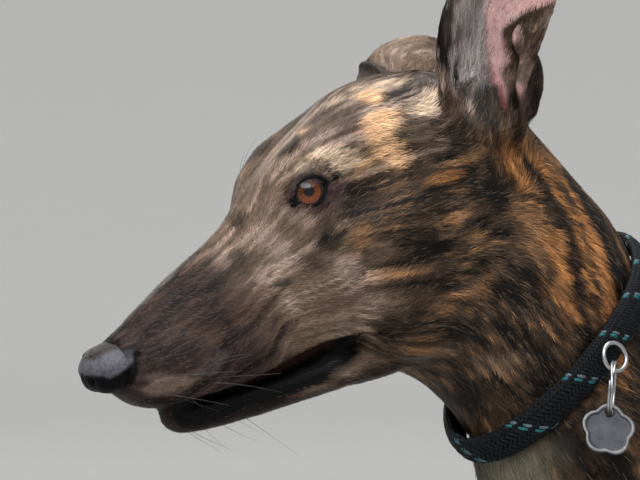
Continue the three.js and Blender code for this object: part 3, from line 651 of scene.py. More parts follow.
# Along the nose, from front to back: the heights where the grey painted highlight on its top starts, and where the
# brown of the hair starts.
NOSE_HIGHLIGHT_BAND = np.array(((0, -1.6, 3), (6, -4.6, 4.2), (9, -4.6, 4.8), (15, -3, 4.6), (20, -1, 3)))


def slit_distance(q):
    """How far a point is from the curved slit, seen from the side."""
    distance = np.full(len(q), 99.0)
    for start, end in zip(NOSTRIL_SLIT[:-1], NOSTRIL_SLIT[1:]):
        run = end - start
        place = np.clip((q[:, 1:] - start) @ run / (run @ run), 0, 1)[:, None]
        distance = np.minimum(distance, np.linalg.norm(q[:, 1:] - start - place * run, axis=1))
    return np.where(np.abs(q[:, 0]) > 4, distance, 99)


def in_leather(q):
    """1 where the skin in front of the slit is bare nose leather."""
    heights, fronts = NOSTRIL_SLIT[:0:-1, 1], NOSTRIL_SLIT[:0:-1, 0]
    ahead = step(0.6, -0.6, q[:, 1] - np.interp(q[:, 2], heights, fronts))
    return ahead * step(-13, -10, q[:, 2]) * step(5, 2, q[:, 2])


def leather_color_with_highlight(q):
    start, end = (np.interp(q[:, 1], NOSE_HIGHLIGHT_BAND[:, 0], NOSE_HIGHLIGHT_BAND[:, column]) for column in (1, 2))
    height = q[:, 2] + 0.5 * noise(q, 3, 112)
    # Black leather low down, a grey painted highlight above it, and brown like the hair at the top.
    grey = step(-1.2, 1, height - start) * (1 - groove(slit_distance(q), 0.9))
    color = blend(NOSE_BLACK, NOSE_HIGHLIGHT_GREY, grey[:, None])
    return blend(color, NOSE_BROWN, step(-0.8, 1.2, height - end)[:, None])


# %% [markdown]
# ## Skin
# On the real dog one skin covers everything from the lips to the toes. The solids are separate, so copies of them are
# grown by less than half a millimetre until neighbours overlap, and a voxel remesh makes one closed surface of them.
# A uniform fine remesh of the whole dog would have millions of faces, so the head and the upper neck get small voxels
# and the rest larger ones, and the two skins pass one inside the other under the collar, where no seam can show.

# %% Copies of the solids
SWELL = 0.45
HEAD_VOXEL = 1.33
BODY_VOXEL = 3.7
NECK_OVERLAP = 3
COLLAR_PLACE = from_body((-26, -371, 755))
COLLAR_AXIS = unit(np.array((0.28, 0.645, -0.71)))
HEAD_NODES = ["head", "lower_jaw", "eye_left", "eye_right"]
LEG_WORDS = ["shoulder", "forearm", "forefoot", "thigh", "shank", "hock", "hindfoot"]
BODY_NODES = ["torso", "tail_base", "tail_middle", "tail_tip"]
BODY_NODES += [f"{word}_{side}" for word in LEG_WORDS for side in ("left", "right")]


# %% The neck, the ears and the folds at their feet


def neck_half(above):
    """The neck's copy above or below the collar's middle, with a little overlap, closed by a flat face."""
    body = bmesh.new()
    points, triangles = grown(*welded("neck"), SWELL)
    mesh = mesh_from("neck_half", points, triangles)
    body.from_mesh(mesh)
    kept_side = COLLAR_AXIS * (1 if above else -1)
    everything = body.verts[:] + body.edges[:] + body.faces[:]
    cut = (COLLAR_PLACE + kept_side * NECK_OVERLAP) * MM
    bmesh.ops.bisect_plane(body, geom=everything, plane_co=cut, plane_no=kept_side, clear_outer=True)
    bmesh.ops.holes_fill(body, edges=[edge for edge in body.edges if edge.is_boundary])
    bmesh.ops.triangulate(body, faces=body.faces[:])
    body.to_mesh(mesh)
    body.free()
    return points_of(mesh), triangles_of(mesh)


def smooth_ear(node):
    """A copy of an ear with its facets rounded away."""
    mesh = rounded([welded(node)], 2)
    return grown(points_of(mesh), triangles_of(mesh), SWELL + 0.15)


def lump(centre, axes, radii, seed):
    """An egg-shaped lump on the head, with an uneven surface, for the folds at the foot of an ear."""
    work = rounded([ball(24, 16)], 1)
    points, triangles = points_of(work), triangles_of(work)
    points = unit(points)
    points *= 1 + 0.16 * noise(points, 0.5, seed)[:, None]
    return from_head(points * radii @ unit(np.array(axes, float)) + centre), triangles


def ball(around, rings):
    """A closed unit sphere: rings of points between two poles."""
    polar = np.linspace(0, math.pi, rings + 1)[1:-1]
    turn = np.linspace(0, 2 * math.pi, around, endpoint=False)
    points = [(math.sin(p) * math.cos(t), math.sin(p) * math.sin(t), math.cos(p)) for p in polar for t in turn]
    points += [(0, 0, 1), (0, 0, -1)]
    north, south = len(points) - 2, len(points) - 1
    faces = []
    for i in range(around):
        j = (i + 1) % around
        faces.append((north, i, j))
        for k in range(rings - 2):
            a, b = k * around, (k + 1) * around
            faces += [(a + i, b + i, b + j), (a + i, b + j, a + j)]
        last = (rings - 2) * around
        faces.append((south, last + j, last + i))
    return np.array(points), np.array(faces)

# %% Two closed skins
EAR_FOLDS = [
    ((53, 224, 60), ((1, 0, -0.1), (0.1, 1, -0.35), (0, 0.35, 1)), (4.5, 7.5, 17), 91),
    ((50, 228, 80), ((1, 0, 0), (0, 1, -0.2), (0, 0.2, 1)), (3.5, 6, 9), 92),
    ((44, 207, 44), ((1, 0, 0), (0, 1, 0.3), (0, -0.3, 1)), (7, 12, 10), 93),
]
head_copies = [grown(*welded(node), SWELL + (0.6 if "eye" in node else 0)) for node in HEAD_NODES]
head_copies.append(grown(*welded("nose"), -0.9))
head_copies += [neck_half(above=True), smooth_ear("ear_left"), smooth_ear("ear_right")]
head_copies += [lump(*fold) for fold in EAR_FOLDS]
body_copies = [grown(*welded(node), SWELL) for node in BODY_NODES] + [neck_half(above=False)]
head_mesh, body_mesh = remeshed(head_copies, HEAD_VOXEL), remeshed(body_copies, BODY_VOXEL)
head_mesh.name, body_mesh.name = "skin_head", "skin_body"
print("head skin", len(head_mesh.polygons), "quads; body skin", len(body_mesh.polygons), "quads")

# %% [markdown]
# The remesh keeps the flat facets of the solids, so each point is drawn towards its neighbours: many rounds on the
# broad neck and trunk, a few on the face, and only one or two on ears and toes, whose thin forms would melt away.

# %% Smooth the skins
COAT_DEPTH = {"face": 0.55, "head": 0.8, "ear": 0.45, "neck": 1.0, "body": 1.4, "leg": 0.9}


def is_part(part, *names):
    return np.isin(part, [PARTS.index(name) for name in names])


def smoothed_skin(mesh, rounds_for):
    points, edges = points_of(mesh), read(mesh.edges, "vertices", 2, np.int32)
    return relaxed(points, edges, rounds_for(points))


ROUNDS = {"face": 14, "skull": 60, "neck": 150, "ear": 5, "trunk": 26.0, "thigh": 20, "shin": 3, "toes": 1, "tail": 2}


def head_rounds(points):
    q = to_head(points)
    part = follow(points).part
    rounds = blend(ROUNDS["face"], ROUNDS["skull"], step(110, 190, q[:, 1]))
    rounds = blend(rounds, ROUNDS["neck"], step(200, 235, q[:, 1]))
    eye = np.linalg.norm(one_sided(q) - LEFT_EYE, axis=1)
    rounds = np.where(eye < 22, ROUNDS["face"], rounds)
    return np.where(is_part(part, *EARS) & (q[:, 2] > 40), ROUNDS["ear"], rounds)


def body_rounds(points):
    part = follow(points).part
    rounds = np.full(len(points), ROUNDS["trunk"])
    legs = is_part(part, *LEGS)
    height = points[:, 2]
    rounds = np.where(legs, blend(ROUNDS["shin"], ROUNDS["thigh"], step(250, 480, height)), rounds)
    rounds = np.where(legs & (height < 50), ROUNDS["toes"], rounds)
    return np.where(is_part(part, "tail"), ROUNDS["tail"], rounds)


head_points = smoothed_skin(head_mesh, head_rounds)
body_points = smoothed_skin(body_mesh, body_rounds)
head_triangles, body_triangles = triangles_of(head_mesh), triangles_of(body_mesh)

# %% [markdown]
# ## Modelling the head
# The skin is now pushed in and out by small formulas, as a sculptor's tools would: lids wrapped over the ball, a
# parted lip with a rolled edge, soft folds of loose skin behind the jaw, and fine unevenness everywhere.

# %% Lids, lips and folds


def sculpted_head(points, triangles):
    normals = outward(points, triangles)
    q = to_head(points)
    x, y, z = one_sided(q).T
    part = follow(points).part
    ear = is_part(part, *EARS) & (z > 44)
    depth = np.where(ear, COAT_DEPTH["ear"], blend(COAT_DEPTH["face"], COAT_DEPTH["head"], step(60, 140, y)))
    depth = blend(depth, COAT_DEPTH["neck"], step(205, 250, y))
    push = -depth + np.where(ear, 0.15, 0.35) * rough_noise(points, 11, 3)
    far_face = is_part(part, "ear_right") * step(-36, -44, q[:, 0]) * step(62, 70, z)
    push += far_face * (1.6 * groove(y + 0.3 * z - 228, 2.5) - 1.4 * groove(y + 0.3 * z - 234, 3))

    # The lip: a dark gap, the rolled edge above it, and the lower lip standing out below
    side = step(5, 9, x) * stretch(22, 27, MOUTH_CORNER - 2, MOUTH_CORNER + 3, y)
    below = lip_edge(y) - z
    gap = parting(y)
    open_lip = stretch(-0.6, 0.5, gap - 0.4, gap + 1.2, below)
    push -= side * open_lip * np.minimum(2.2 + gap * 0.25, 3.8)
    push += side * groove(below + 1.8, 1.8) * 0.7
    push -= 0.9 * groove(slit_distance(q), 0.9)
    push += side * groove(below - gap - 3.2, 2.6) * 0.9
    past_corner = y - MOUTH_CORNER
    push -= step(-4, 4, past_corner) * groove(past_corner - 4, 6) * groove(below - 2, 2.2) * 1.4

    # Loose skin: folds curving round the corner of the mouth, behind the jaw and across the throat
    fold = np.hypot(y - 112, z + 30)
    push -= groove(fold - 19, 2.4) * step(100, 116, y) * step(-8, -22, z) * 0.7
    for turn, place in ((0.5, 168), (0.62, 181), (0.7, 194), (0.8, 208)):
        wave = y + turn * z + 3 * noise(points, 18, 5) - place
        push -= groove(wave, 2.6) * step(-12, -40, z) * (x < 60) * 0.8

    # The ridge from the inner corner of the eye, the vein below it, and the hollow before the ear
    push += groove(z - (4 + 0.16 * (y - 60)), 3) * stretch(46, 70, 88, 104, y) * 0.5
    push -= groove(np.hypot(y - 178, z - 44) - 6, 7) * step(30, 40, x) * 0.6
    points = points + normals * push[:, None]
    return lidded(points)


# %% Lids drawn over the balls


def lidded(points):
    """The skin round each eye drawn over the ball outside the almond, and sunk behind the ball inside it."""
    q = to_head(points)
    for s in (LEFT, RIGHT):
        centre = eye_axes(s)[0]
        distance, r, b, u = lid_distance(q, s)
        near = (r < EYE_AREA) & (distance < 29)
        lid = EYE_RADIUS + LID_THICKNESS + 0.9 * step(0.5, 4, distance) + 0.5 * step(3, 8, distance)
        lid -= 0.55 * groove(distance - 4.6 - 0.1 * b, 0.9) * (u > 0)
        lid -= 0.45 * groove(distance - 4.2, 1.1) * (u < 0)
        outer = blend(lid, np.maximum(r, lid), step(2.5, 8.5, distance))
        target = blend(EYE_RADIUS - 1.6, outer, step(-0.75, 0.15, distance))
        fade = step(EYE_AREA - 3.5, EYE_AREA, r) * (distance > 4)
        scale = np.where(near, blend(target, r, fade) / np.maximum(r, 1e-6), 1)
        q = centre + (q - centre) * scale[:, None]
    return from_head(q)

# %% Ribs and loin
RIB_SPACING = 27
FLOOR_GAP = 0.3


def sculpted_body(points, triangles):
    normals = outward(points, triangles)
    part = follow(points).part
    legs = is_part(part, *LEGS, "tail")
    height = points[:, 2]
    depth = np.where(legs, blend(COAT_DEPTH["leg"], COAT_DEPTH["body"], step(300, 520, height)), COAT_DEPTH["body"])
    p = to_body(points)

    # Ribs show faintly through a greyhound's thin skin, and the loin and chest are never quite even
    ribs = np.sin((p[:, 1] + (p[:, 2] - 560) * 0.42) / RIB_SPACING * 2 * math.pi)
    rib_zone = stretch(-130, -80, 60, 105, p[:, 1]) * stretch(430, 470, 600, 650, p[:, 2])
    push = -depth + ribs * rib_zone * 1.3 + np.where(legs, 0.35, 1.2) * rough_noise(points, 60, 9)
    seam = (points - COLLAR_PLACE) @ COLLAR_AXIS
    push -= (np.abs(seam) < 12) * step(1, -4, seam) * (part == PARTS.index("neck")) * 0.6
    moved = points + normals * push[:, None]
    moved[:, 2] = np.maximum(moved[:, 2], FLOOR_GAP)
    return moved

# %% Sculpt both skins
head_points = sculpted_head(head_points, head_triangles)
body_points = sculpted_body(body_points, body_triangles)
set_points(head_mesh, head_points)
set_points(body_mesh, body_points)
skin_head, skin_body = object_from(head_mesh), object_from(body_mesh)
print("sculpted", len(head_points) + len(body_points), "points")

# %% [markdown]
# ## Markings
# Brindle is tan hair crossed by dark, broken stripes. One function of a point's place makes it, for the skin and for
# every tuft of the coat, so that both always agree. On the head it turns into a fine grain of light and dark streaks
# that run with the hair. The marks that make this dog its own, such as the bright patch at the temple, are a short
# list of soft ovals, bent out of shape by noise. One broad dark oval under the throat is not a marking but painted
# shade, where the head shades the throat.

# %% Colours of the coat, as they look on a screen
TONES = {
    "tan": (0.53, 0.39, 0.27),
    "orange": (0.66, 0.45, 0.27),
    "bright": (0.93, 0.74, 0.56),
    "cream": (0.90, 0.79, 0.68),
    "fawn": (0.44, 0.365, 0.30),
    "brown": (0.25, 0.195, 0.15),
    "dark": (0.085, 0.07, 0.058),
    "plum_dark": (0.12, 0.093, 0.09),
    "plum": (0.215, 0.17, 0.16),
    "muzzle_tan": (0.37, 0.285, 0.24),
    "pink_grey": (0.63, 0.54, 0.485),
    "frost": (0.46, 0.42, 0.40),
    "black": (0.03, 0.027, 0.028),
    "lip_red": (0.17, 0.075, 0.08),
    "white": (0.42, 0.40, 0.34),
    "ear_grey": (0.30, 0.26, 0.245),
    "ear_silver": (0.72, 0.68, 0.67),
    # The ear's pink is its own colour, painted brighter as painted light shining through the ear from behind.
    "ear_pink_lit_through": (0.80, 0.63, 0.61),
    "ear_red": (0.58, 0.31, 0.32),
    "mauve": (0.29, 0.22, 0.225),
}
TONE = {name: linear(color) for name, color in TONES.items()}

# %% Marks on the head: the middle and half sizes in the head's axes, the tone and its strength
HEAD_MARKS = [
    ((0, 58, 26), (4, 52, 13), "frost", 0.85),
    ((0, 118, 66), (6, 40, 18), "pink_grey", 0.8),
    ((12, 152, 79), (7, 20, 3), "cream", 0.6),
    ((22, 170, 79), (9, 14, 3.5), "cream", 0.8),
    ((22, 134, 68), (13, 16, 7), "brown", 0.75),
    ((10, 96, 48), (9, 16, 12), "pink_grey", 0.3),
    ((23, 94, 24), (8, 7, 15), "pink_grey", 0.95),
    ((25, 84, 18), (7, 8, 5), "pink_grey", 0.7),
    ((28, 108, 34), (8, 8, 5), "pink_grey", 0.7),
    ((14, 114, 62), (8, 7, 5), "dark", 0.9),
    ((14, 126, 66), (5, 4, 3), "bright", 0.8),
    ((9, 85, 37), (6, 4.5, 9), "dark", 0.85),
    ((15, 76, 24), (7, 6, 6), "dark", 0.75),
    ((24, 88, 11), (9, 6, 1.8), "black", 0.8),
    ((22, 74, 4), (10, 12, 8), "muzzle_tan", 0.8),
    ((20, 52, 2), (9, 11, 6), "muzzle_tan", 0.5),
    ((13, 50, 19), (9, 20, 7), "plum_dark", 0.6),
    ((20, 29, -15), (12, 12, 6), "pink_grey", 0.6),
    ((25, 48, -14), (8, 9, 4), "frost", 0.4),
    ((29, 118, 57), (10, 9, 4.8), "cream", 1.0),
    ((32, 125, 54.5), (10, 9, 4.8), "cream", 1.0),
    ((34, 133, 51), (9, 8, 5), "cream", 0.8),
    ((24, 156, 74), (8, 6, 7), "bright", 0.9),
    ((34, 153, 63), (9, 8, 10), "bright", 1.0),
    ((39, 150, 50), (9, 9, 8), "bright", 1.0),
    ((38, 141, 48), (8, 6, 4), "bright", 0.7),
    ((28, 168, 74), (8, 7, 4), "dark", 0.7),
    ((36, 175, 66), (9, 9, 6), "cream", 0.9),
    ((40, 165, 57), (9, 8, 7), "fawn", 0.7),
    ((36, 132, 35), (9, 8, 7), "dark", 0.95),
    ((33, 113, 22), (8, 7, 6), "dark", 0.95),
    ((30, 105, 14), (8, 7, 5), "plum", 0.75),
    ((38, 124, 19), (8, 5, 7), "tan", 0.85),
    ((36, 116, 9), (9, 7, 6), "pink_grey", 0.95),
    ((41, 130, 8), (9, 9, 5), "fawn", 0.8),
    ((37, 108, -6), (10, 14, 5), "muzzle_tan", 0.7),
    ((46, 186, 47), (10, 16, 9), "dark", 0.75),
    ((47, 183, 37), (9, 11, 2.6), "tan", 0.9),
    ((45, 170, 33), (9, 9, 3.2), "orange", 0.95),
    ((42, 150, 39), (9, 12, 2.5), "muzzle_tan", 0.7),
    ((47, 181, 23), (9, 5, 9), "dark", 0.9),
    ((45, 162, 24), (9, 10, 3), "dark", 0.6),
    ((45, 151, 10), (9, 9, 11), "dark", 0.8),
    ((47, 156, -12), (9, 10, 6), "dark", 0.7),
    ((48, 176, 2), (9, 6, 4), "tan", 0.5),
    ((48, 170, -18), (9, 8, 4), "tan", 0.6),
    ((40, 126, -26), (10, 11, 11), "dark", 0.95),
    ((45, 151, -23), (9, 7, 3), "tan", 0.6),
    ((45, 157, -33), (9, 11, 4), "dark", 0.95),
    ((50, 179, -22), (9, 9, 6), "dark", 0.85),
    ((48, 183, -43), (10, 7, 5), "dark", 0.8),
    ((42, 143, -42), (10, 15, 5), "fawn", 0.55),
    ((43, 176, -53), (12, 13, 6), "fawn", 0.7),
    # This broad dark oval under the throat is painted shade, where the head shades the throat.
    ((20, 150, -66), (34, 34, 8), "dark", 0.95),
    ((48, 193, 16), (10, 6, 16), "dark", 1.0),
    ((44, 211, 23), (10, 6, 9), "orange", 1.0),
    ((49, 203, 0), (10, 9, 11), "tan", 1.0),
    ((53, 210, -24), (12, 6, 22), "orange", 0.85),
    ((50, 221, -20), (14, 5.5, 34), "dark", 0.95),
    ((50, 236, -36), (14, 5.5, 26), "orange", 0.9),
    ((50, 248, -40), (16, 5, 30), "dark", 0.95),
    ((30, 236, 24), (20, 12, 10), "tan", 0.8),
]


# %% Marks, streaks and mixed tones


def mark(q, centre, size, seed):
    """1 in the middle of a mark, 0 outside, with an edge broken by the hair. Both sides of the head carry it."""
    bend = min(5.0, 0.45 * (size[1] + size[2]) / 2)
    bent = one_sided(q) + bend * np.column_stack([noise(q, 11, seed + k) for k in (0, 1, 2)])
    reach = np.linalg.norm((bent - centre) / size, axis=1) + 0.33 * noise(q * (1, 0.45, 1.5), 4.5, seed + 5)
    return 1 - step(0.55, 1.25, reach)


def streaks(lie, across, length, seed):
    """Noise drawn out along the hair: fine across it and long with it."""
    return noise(np.column_stack((lie.around / across, lie.along / length, lie.part * 7.3)), 1, seed)


def above_ear_root(q):
    """1 on the free part of an ear. In front, the guide lines reach down onto the skull, which is left to the head."""
    root = blend(45, 76, step(198, 189, q[:, 1]))
    return step(root - 5, root + 5, q[:, 2])


def laid_over(color, over, share):
    """Another colour, or a tone by its name, laid over a colour by a share at each point."""
    return blend(color, TONE[over] if isinstance(over, str) else over, share[:, None])


def three_tones(value, dark, middle, light):
    """A tone picked by a value from -1 to 1."""
    value = value[:, None]
    return blend(blend(TONE[dark], TONE[middle], step(-0.75, -0.05, value)), TONE[light], step(0.1, 0.85, value))


# %% Brindle on the body and the grain of the head


def brindle(points, lie):
    """From -1 in a dark stripe to 1 between stripes. Stripes cross the body, and break up."""
    warp = 11 * noise(points, 90, 21) + 6 * noise(points, 34, 22) + 3.5 * noise(points, 11, 26)
    across = points[:, 1] * 0.93 + points[:, 2] * 0.25 + warp
    legs = is_part(lie.part, *LEGS)
    across = np.where(legs, points[:, 2] * 0.8 + 0.5 * points[:, 1] + warp, across)
    wave = np.sin(across / 13 * math.pi) * 0.5 + np.sin(across / 5.7 * math.pi + 2) * 0.4
    broken = 0.75 * noise(points * (1, 1.5, 0.6), 40, 23) + 0.55 * noise(points * (1, 1.3, 0.5), 13, 24)
    return wave + broken + 0.35 * streaks(lie, 2.2, 16, 25) - 0.22


# %% The head's own grain


def head_base(q, lie, stripes):
    y, z = q[:, 1][:, None], q[:, 2][:, None]
    fine, coarse = streaks(lie, 1.3, 9, 31), streaks(lie, 3.4, 15, 32)
    patches = rough_noise(q * (1, 0.7, 1.2), 17, 33)
    grain = 0.55 * fine + 0.5 * coarse + 0.6 * patches
    muzzle = three_tones(grain - 0.15 * step(30, 10, q[:, 2]), "plum_dark", "plum", "muzzle_tan")
    face = three_tones(grain + 0.1, "plum", "fawn", "pink_grey")
    cheek = three_tones(grain * 1.2 - 0.12, "dark", "brown", "tan")
    crown = three_tones(grain * 1.1, "dark", "brown", "pink_grey")
    neck = three_tones(stripes + 0.35 * fine + 0.1, "dark", "brown", "orange")
    wander = 6 * noise(q, 14, 34)[:, None]
    front = blend(muzzle, face, step(62, 92, y + 0.25 * z + wander))
    skull = blend(cheek, crown, step(34, 52, z + wander))
    base = blend(front, skull, step(112, 138, y + wander))
    return blend(base, neck, step(198, 216, y + wander))


# %% One colour for any point


def coat_color(points):
    """The coat's colour at each point, as light."""
    lie = follow(points)
    q, p = to_head(points), to_body(points)
    stripes = brindle(p, lie)
    color = three_tones(stripes, "dark", "brown", "tan")
    on_head = step(268, 240, q[:, 1]) * is_part(lie.part, *EARS, "head", "neck")
    color = blend(color, head_base(q, lie, stripes), on_head[:, None])
    free = ~is_part(lie.part, *EARS) | (above_ear_root(q) < 0.5)
    grain = streaks(lie, 1.3, 9, 31)
    for number, (centre, size, tone, strength) in enumerate(HEAD_MARKS):
        near = (np.abs(q[:, 1] - centre[1]) < size[1] + 22) & (np.abs(q[:, 2] - centre[2]) < size[2] + 22) & free
        share = mark(q[near], centre, size, 40 + number * 9) * strength * (0.85 + 0.3 * grain[near])
        color[near] = blend(color[near], TONE[tone], np.clip(share, 0, 1)[:, None])
    color = body_marks(color, p, lie)
    color = ear_marks(color, q, lie)
    color = mouth_and_lids(color, q)
    contrast = 1 - 0.6 * step(0.2, 0.5, color.mean(axis=1))
    shade = 0.3 * grain + 0.2 * streaks(lie, 0.8, 6, 35) + 0.22 * streaks(lie, 2.6, 12, 36)
    return color * np.exp(contrast * shade)[:, None]


# %% Marks on the body and the ears


def body_marks(color, p, lie):
    """White on the throat, chest and toes, and a paler belly, as on most brindle greyhounds."""
    x, y, z = p.T
    ragged = 12 * rough_noise(p, 22, 61)
    throat = step(26, 10, np.abs(x + 12) + ragged) * step(-338, -366, y + 0.25 * (z - 690)) * step(716, 702, z)
    chest = step(44, 26, np.abs(x) + ragged) * step(-296, -322, y + ragged) * step(660, 640, z)
    toes = step(32, 18, z + 0.5 * ragged) * (y < 330)
    belly = step(395, 330, z - 60 * step(90, 200, y)) * step(60, 30, np.abs(x))
    on_trunk = is_part(lie.part, "trunk", "neck", "head")
    color = laid_over(color, "white", np.maximum(throat, chest) * on_trunk)
    color = laid_over(color, "white", toes * 0.75)
    color = laid_over(color, "fawn", belly * on_trunk * 0.5)
    return laid_over(color, "black", step(4.5, 2.0, z))


# %% Ears


def ear_hollow(q):
    """1 in the bare hollow of the left ear, between its silver front edge and the folded pocket behind."""
    x, y, z = q.T
    rise = z - 60
    back_edge = blend(y - rise * 0.75, y - rise * 0.35 + 13, step(99, 86, z)) + 2.5 * noise(q, 6, 73)
    return step(28, 33, x - rise * 0.08) * step(211, 216, y - rise * 0.18) * step(233, 228, back_edge)


def ear_marks(color, q, lie):
    """Grey and mottled outside, pink in the hollow and painted bright as if lit through from behind, red at its root,
    with a silver fringe along the front edge.
    """
    x, y, z = q.T
    grain = 0.7 * streaks(lie, 1.4, 8, 71) + 0.6 * rough_noise(q * (1, 1, 0.6), 8, 72)
    outer = three_tones(grain - 0.1, "dark", "ear_grey", "fawn")
    left = is_part(lie.part, "ear_left") * above_ear_root(q)
    right = is_part(lie.part, "ear_right") * above_ear_root(q)
    rise = z - 60
    color = blend(color, outer, np.maximum(left, right)[:, None])
    facing = step(28, 33, x - rise * 0.08)
    hollow = ear_hollow(q)
    # The hollow's pink carries painted light, as if the ear were lit through from behind.
    pink = blend(TONE["ear_pink_lit_through"], TONE["ear_silver"], step(0.1, 0.8, streaks(lie, 1.6, 14, 74))[:, None] * 0.6)
    pink = blend(pink, TONE["ear_red"], (step(78, 66, z) * step(219, 214, y))[:, None])
    color = laid_over(color, pink, left * hollow)
    silver = left * facing * step(216, 210, y - rise * 0.18) * step(-0.5, 0.5, grain + 0.2) * step(50, 62, z)
    color = laid_over(color, "ear_silver", silver * 0.8)
    edge = left * step(203, 198, y - rise * 0.16)
    color = laid_over(color, three_tones(grain * 1.8 - 0.1, "dark", "ear_grey", "ear_silver"), edge * 0.9)
    pocket = left * facing * (1 - hollow) * step(215, 219, y - rise * 0.3) * step(100, 90, z)
    color = laid_over(color, three_tones(grain * 1.5, "dark", "brown", "pink_grey"), pocket)
    root = left * step(70, 60, z) * step(190, 197, y) * (1 - hollow)
    color = laid_over(color, three_tones(grain - 0.6, "dark", "brown", "fawn"), root * 0.9)
    far_face = right * step(-36, -44, x) * step(64, 70, z)
    inside = three_tones(grain * 1.2 + 0.1, "brown", "fawn", "pink_grey")
    color = laid_over(color, inside, far_face * step(206, 211, y + 0.3 * rise - 6))
    rim_band = groove(y + 0.3 * rise - 6 - 202, 4)
    return laid_over(color, "dark", far_face * rim_band * 0.85)


# %% Mouth, nose and lids


def mouth_and_lids(color, q):
    """Black lips with a dark red gap between them, and dark skin round the eyes and the nose."""
    x, y, z = one_sided(q).T
    below = lip_edge(y) - z
    gap = parting(y)
    side = step(4, 8, x) * stretch(20, 25, MOUTH_CORNER, MOUTH_CORNER + 5, y)
    lower = gap + 9 + 2.5 * noise(q, 6, 81)
    lips = side * step(-2.4 + 1.2 * noise(q, 3, 83), -0.4, below) * (1 - step(lower, lower + 5, below))
    color = laid_over(color, "black", lips)
    red = side * stretch(0.6, 1.6, gap - 1.6, gap - 0.4, below) * step(58, 74, y)
    color = laid_over(color, "lip_red", red * 0.9)
    # The underside of the lower jaw is painted dark: painted shade under the jaw.
    jaw = step(-38, -43, z) * (1 - step(120, 150, y))
    under = three_tones(noise(q * (1, 0.5, 1), 4, 82), "black", "plum_dark", "plum")
    color = laid_over(color, under, jaw * 0.85)
    rim = step(19, 14, y) * step(15, 11, np.hypot(x, z + 3)) * (1 - in_leather(q))
    # In front of the slit the skin takes the nose's colour, with its painted highlight.
    color = blend(color, leather_color_with_highlight(q) * 0.8, in_leather(q)[:, None])
    color = laid_over(color, "black", np.maximum(rim, 1 - step(0.7, 1.3, slit_distance(q))))
    pad = step(18, 26, y) * step(62, 48, y) * step(-3, -8, z) * (below < -2)
    dots = step(0.52, 0.72, noise(q * (0.2, 1, 1), 2.6, 84)) * pad
    color = laid_over(color, "black", dots * 0.8)
    for s in (LEFT, RIGHT):
        distance, r, b, u = lid_distance(q, s)
        near = r < EYE_AREA
        skin = (1 - step(2.4, 6.5, distance)) * near
        line = (1 - step(0.7, 1.6, past_rim(distance, b, u))) * near
        color = laid_over(color, "mauve", skin * 0.75)
        color = laid_over(color, "black", line)
    return color


def paint(mesh, colors, name="coat"):
    layer = mesh.color_attributes.new(name=name, type="FLOAT_COLOR", domain="POINT")
    opaque = np.column_stack((np.clip(colors, 0, 1), np.ones(len(colors))))
    layer.data.foreach_set("color", opaque.astype(np.float32).ravel())


# %% Paint the skins
skin_finish = Finish("brindle_skin", Specular_IOR_Level=0.1)
streak = skin_finish.noise(900, 4, 0.6)
patchy = skin_finish.noise(160, 3)
skin_shades = (0.3, (0.72, 0.72, 0.72)), (0.7, (1.1, 1.08, 1.05))
skin_finish.feed(
    Base_Color=skin_finish.tinted("coat", streak * 0.6 + patchy * 0.4, *skin_shades),
    Roughness=0.5 + patchy * 0.2,
    Normal=skin_finish.bump(streak + skin_finish.noise(2600, 2) * 0.5, 0.35, 0.6),
)
for piece, points in ((skin_head, head_points), (skin_body, body_points)):
    paint(piece.data, coat_color(points) * 0.9)
    piece.data.materials.append(skin_finish.material)
fit_out(skin_head, "coat", "head", "lower_jaw", *EARS, "neck")
fit_out(skin_body, "coat", *BODY_NODES, "neck")
print("painted both skins")

# %% [markdown]
# ## Coat
# A greyhound's hair is short and lies flat, so the skin carries most of its look, and fine tufts break up its surface
# and outline. A tuft is a thin blade of three triangles. Its root sits in the skin, it lies back along the body, and
# its middle and tip are pressed onto the skin with a nearest-point search, then lifted a little, so that no tuft
# sinks in on a hollow or stands off on a curve. The tufts of one piece are one mesh made from arrays. Each tuft also
# gets a small patch on a map of the unrolled skin, where its colours can be baked.

# %% Tuft sizes
HEAD_TUFTS = 190000
BODY_TUFTS = 230000
TUFTS_IN_PIECE = 64000
ROOT_DEPTH = 0.25
BAKE_PATCH = 0.003
MAP_COLUMNS = {
    "head": 0.2, "ear_left": 0.06, "ear_right": 0.06, "neck": 0.14, "trunk": 0.22, "tail": 0.04,
    "fore_left": 0.07, "fore_right": 0.07, "hind_left": 0.07, "hind_right": 0.07,
}


# %% Roots over a skin, and blades from them


def scatter(points, triangles, density, count, dice):
    """Roots spread evenly over a skin, thinned or thickened by a density at each of its points."""
    a, b, c = (points[triangles[:, k]] for k in range(3))
    area = np.linalg.norm(np.cross(b - a, c - a), axis=1)
    weight = area * density[triangles].mean(axis=1)
    chosen = triangles[dice.choice(len(triangles), count, p=weight / weight.sum())]
    u, v = dice.random((2, count))
    u, v = np.where(u + v > 1, 1 - u, u), np.where(u + v > 1, 1 - v, v)
    shares = np.array((1 - u - v, u, v)).T
    return np.einsum("ij,ijk->ik", shares, points[chosen])


def pressed(points, skin, lift):
    """Points moved to the nearest place on a skin and then out along its normal."""
    tree = BVHTree.FromObject(skin, bpy.context.evaluated_depsgraph_get())
    found = [tree.find_nearest(p)[:2] for p in (points * MM).tolist()]
    place = np.array([f[0] for f in found]) / MM
    normal = np.array([f[1] for f in found])
    return place + normal * lift[:, None], normal


def unrolled(lie):
    """Each point's place on a map of the unrolled skin: one column for each part, its length up the column."""
    widths = np.array([MAP_COLUMNS[name] for name in PARTS])
    starts = np.cumsum(widths) - widths
    lengths = np.array([np.linalg.norm(np.diff(line, axis=0), axis=1).sum() for line, _ in GUIDES.values()])
    u = starts[lie.part] + widths[lie.part] * (0.04 + 0.9 * (lie.angle / (2 * math.pi) + 0.5))
    v = 0.02 + 0.95 * np.clip(lie.along / lengths[lie.part], 0, 1)
    return np.column_stack((u, v))


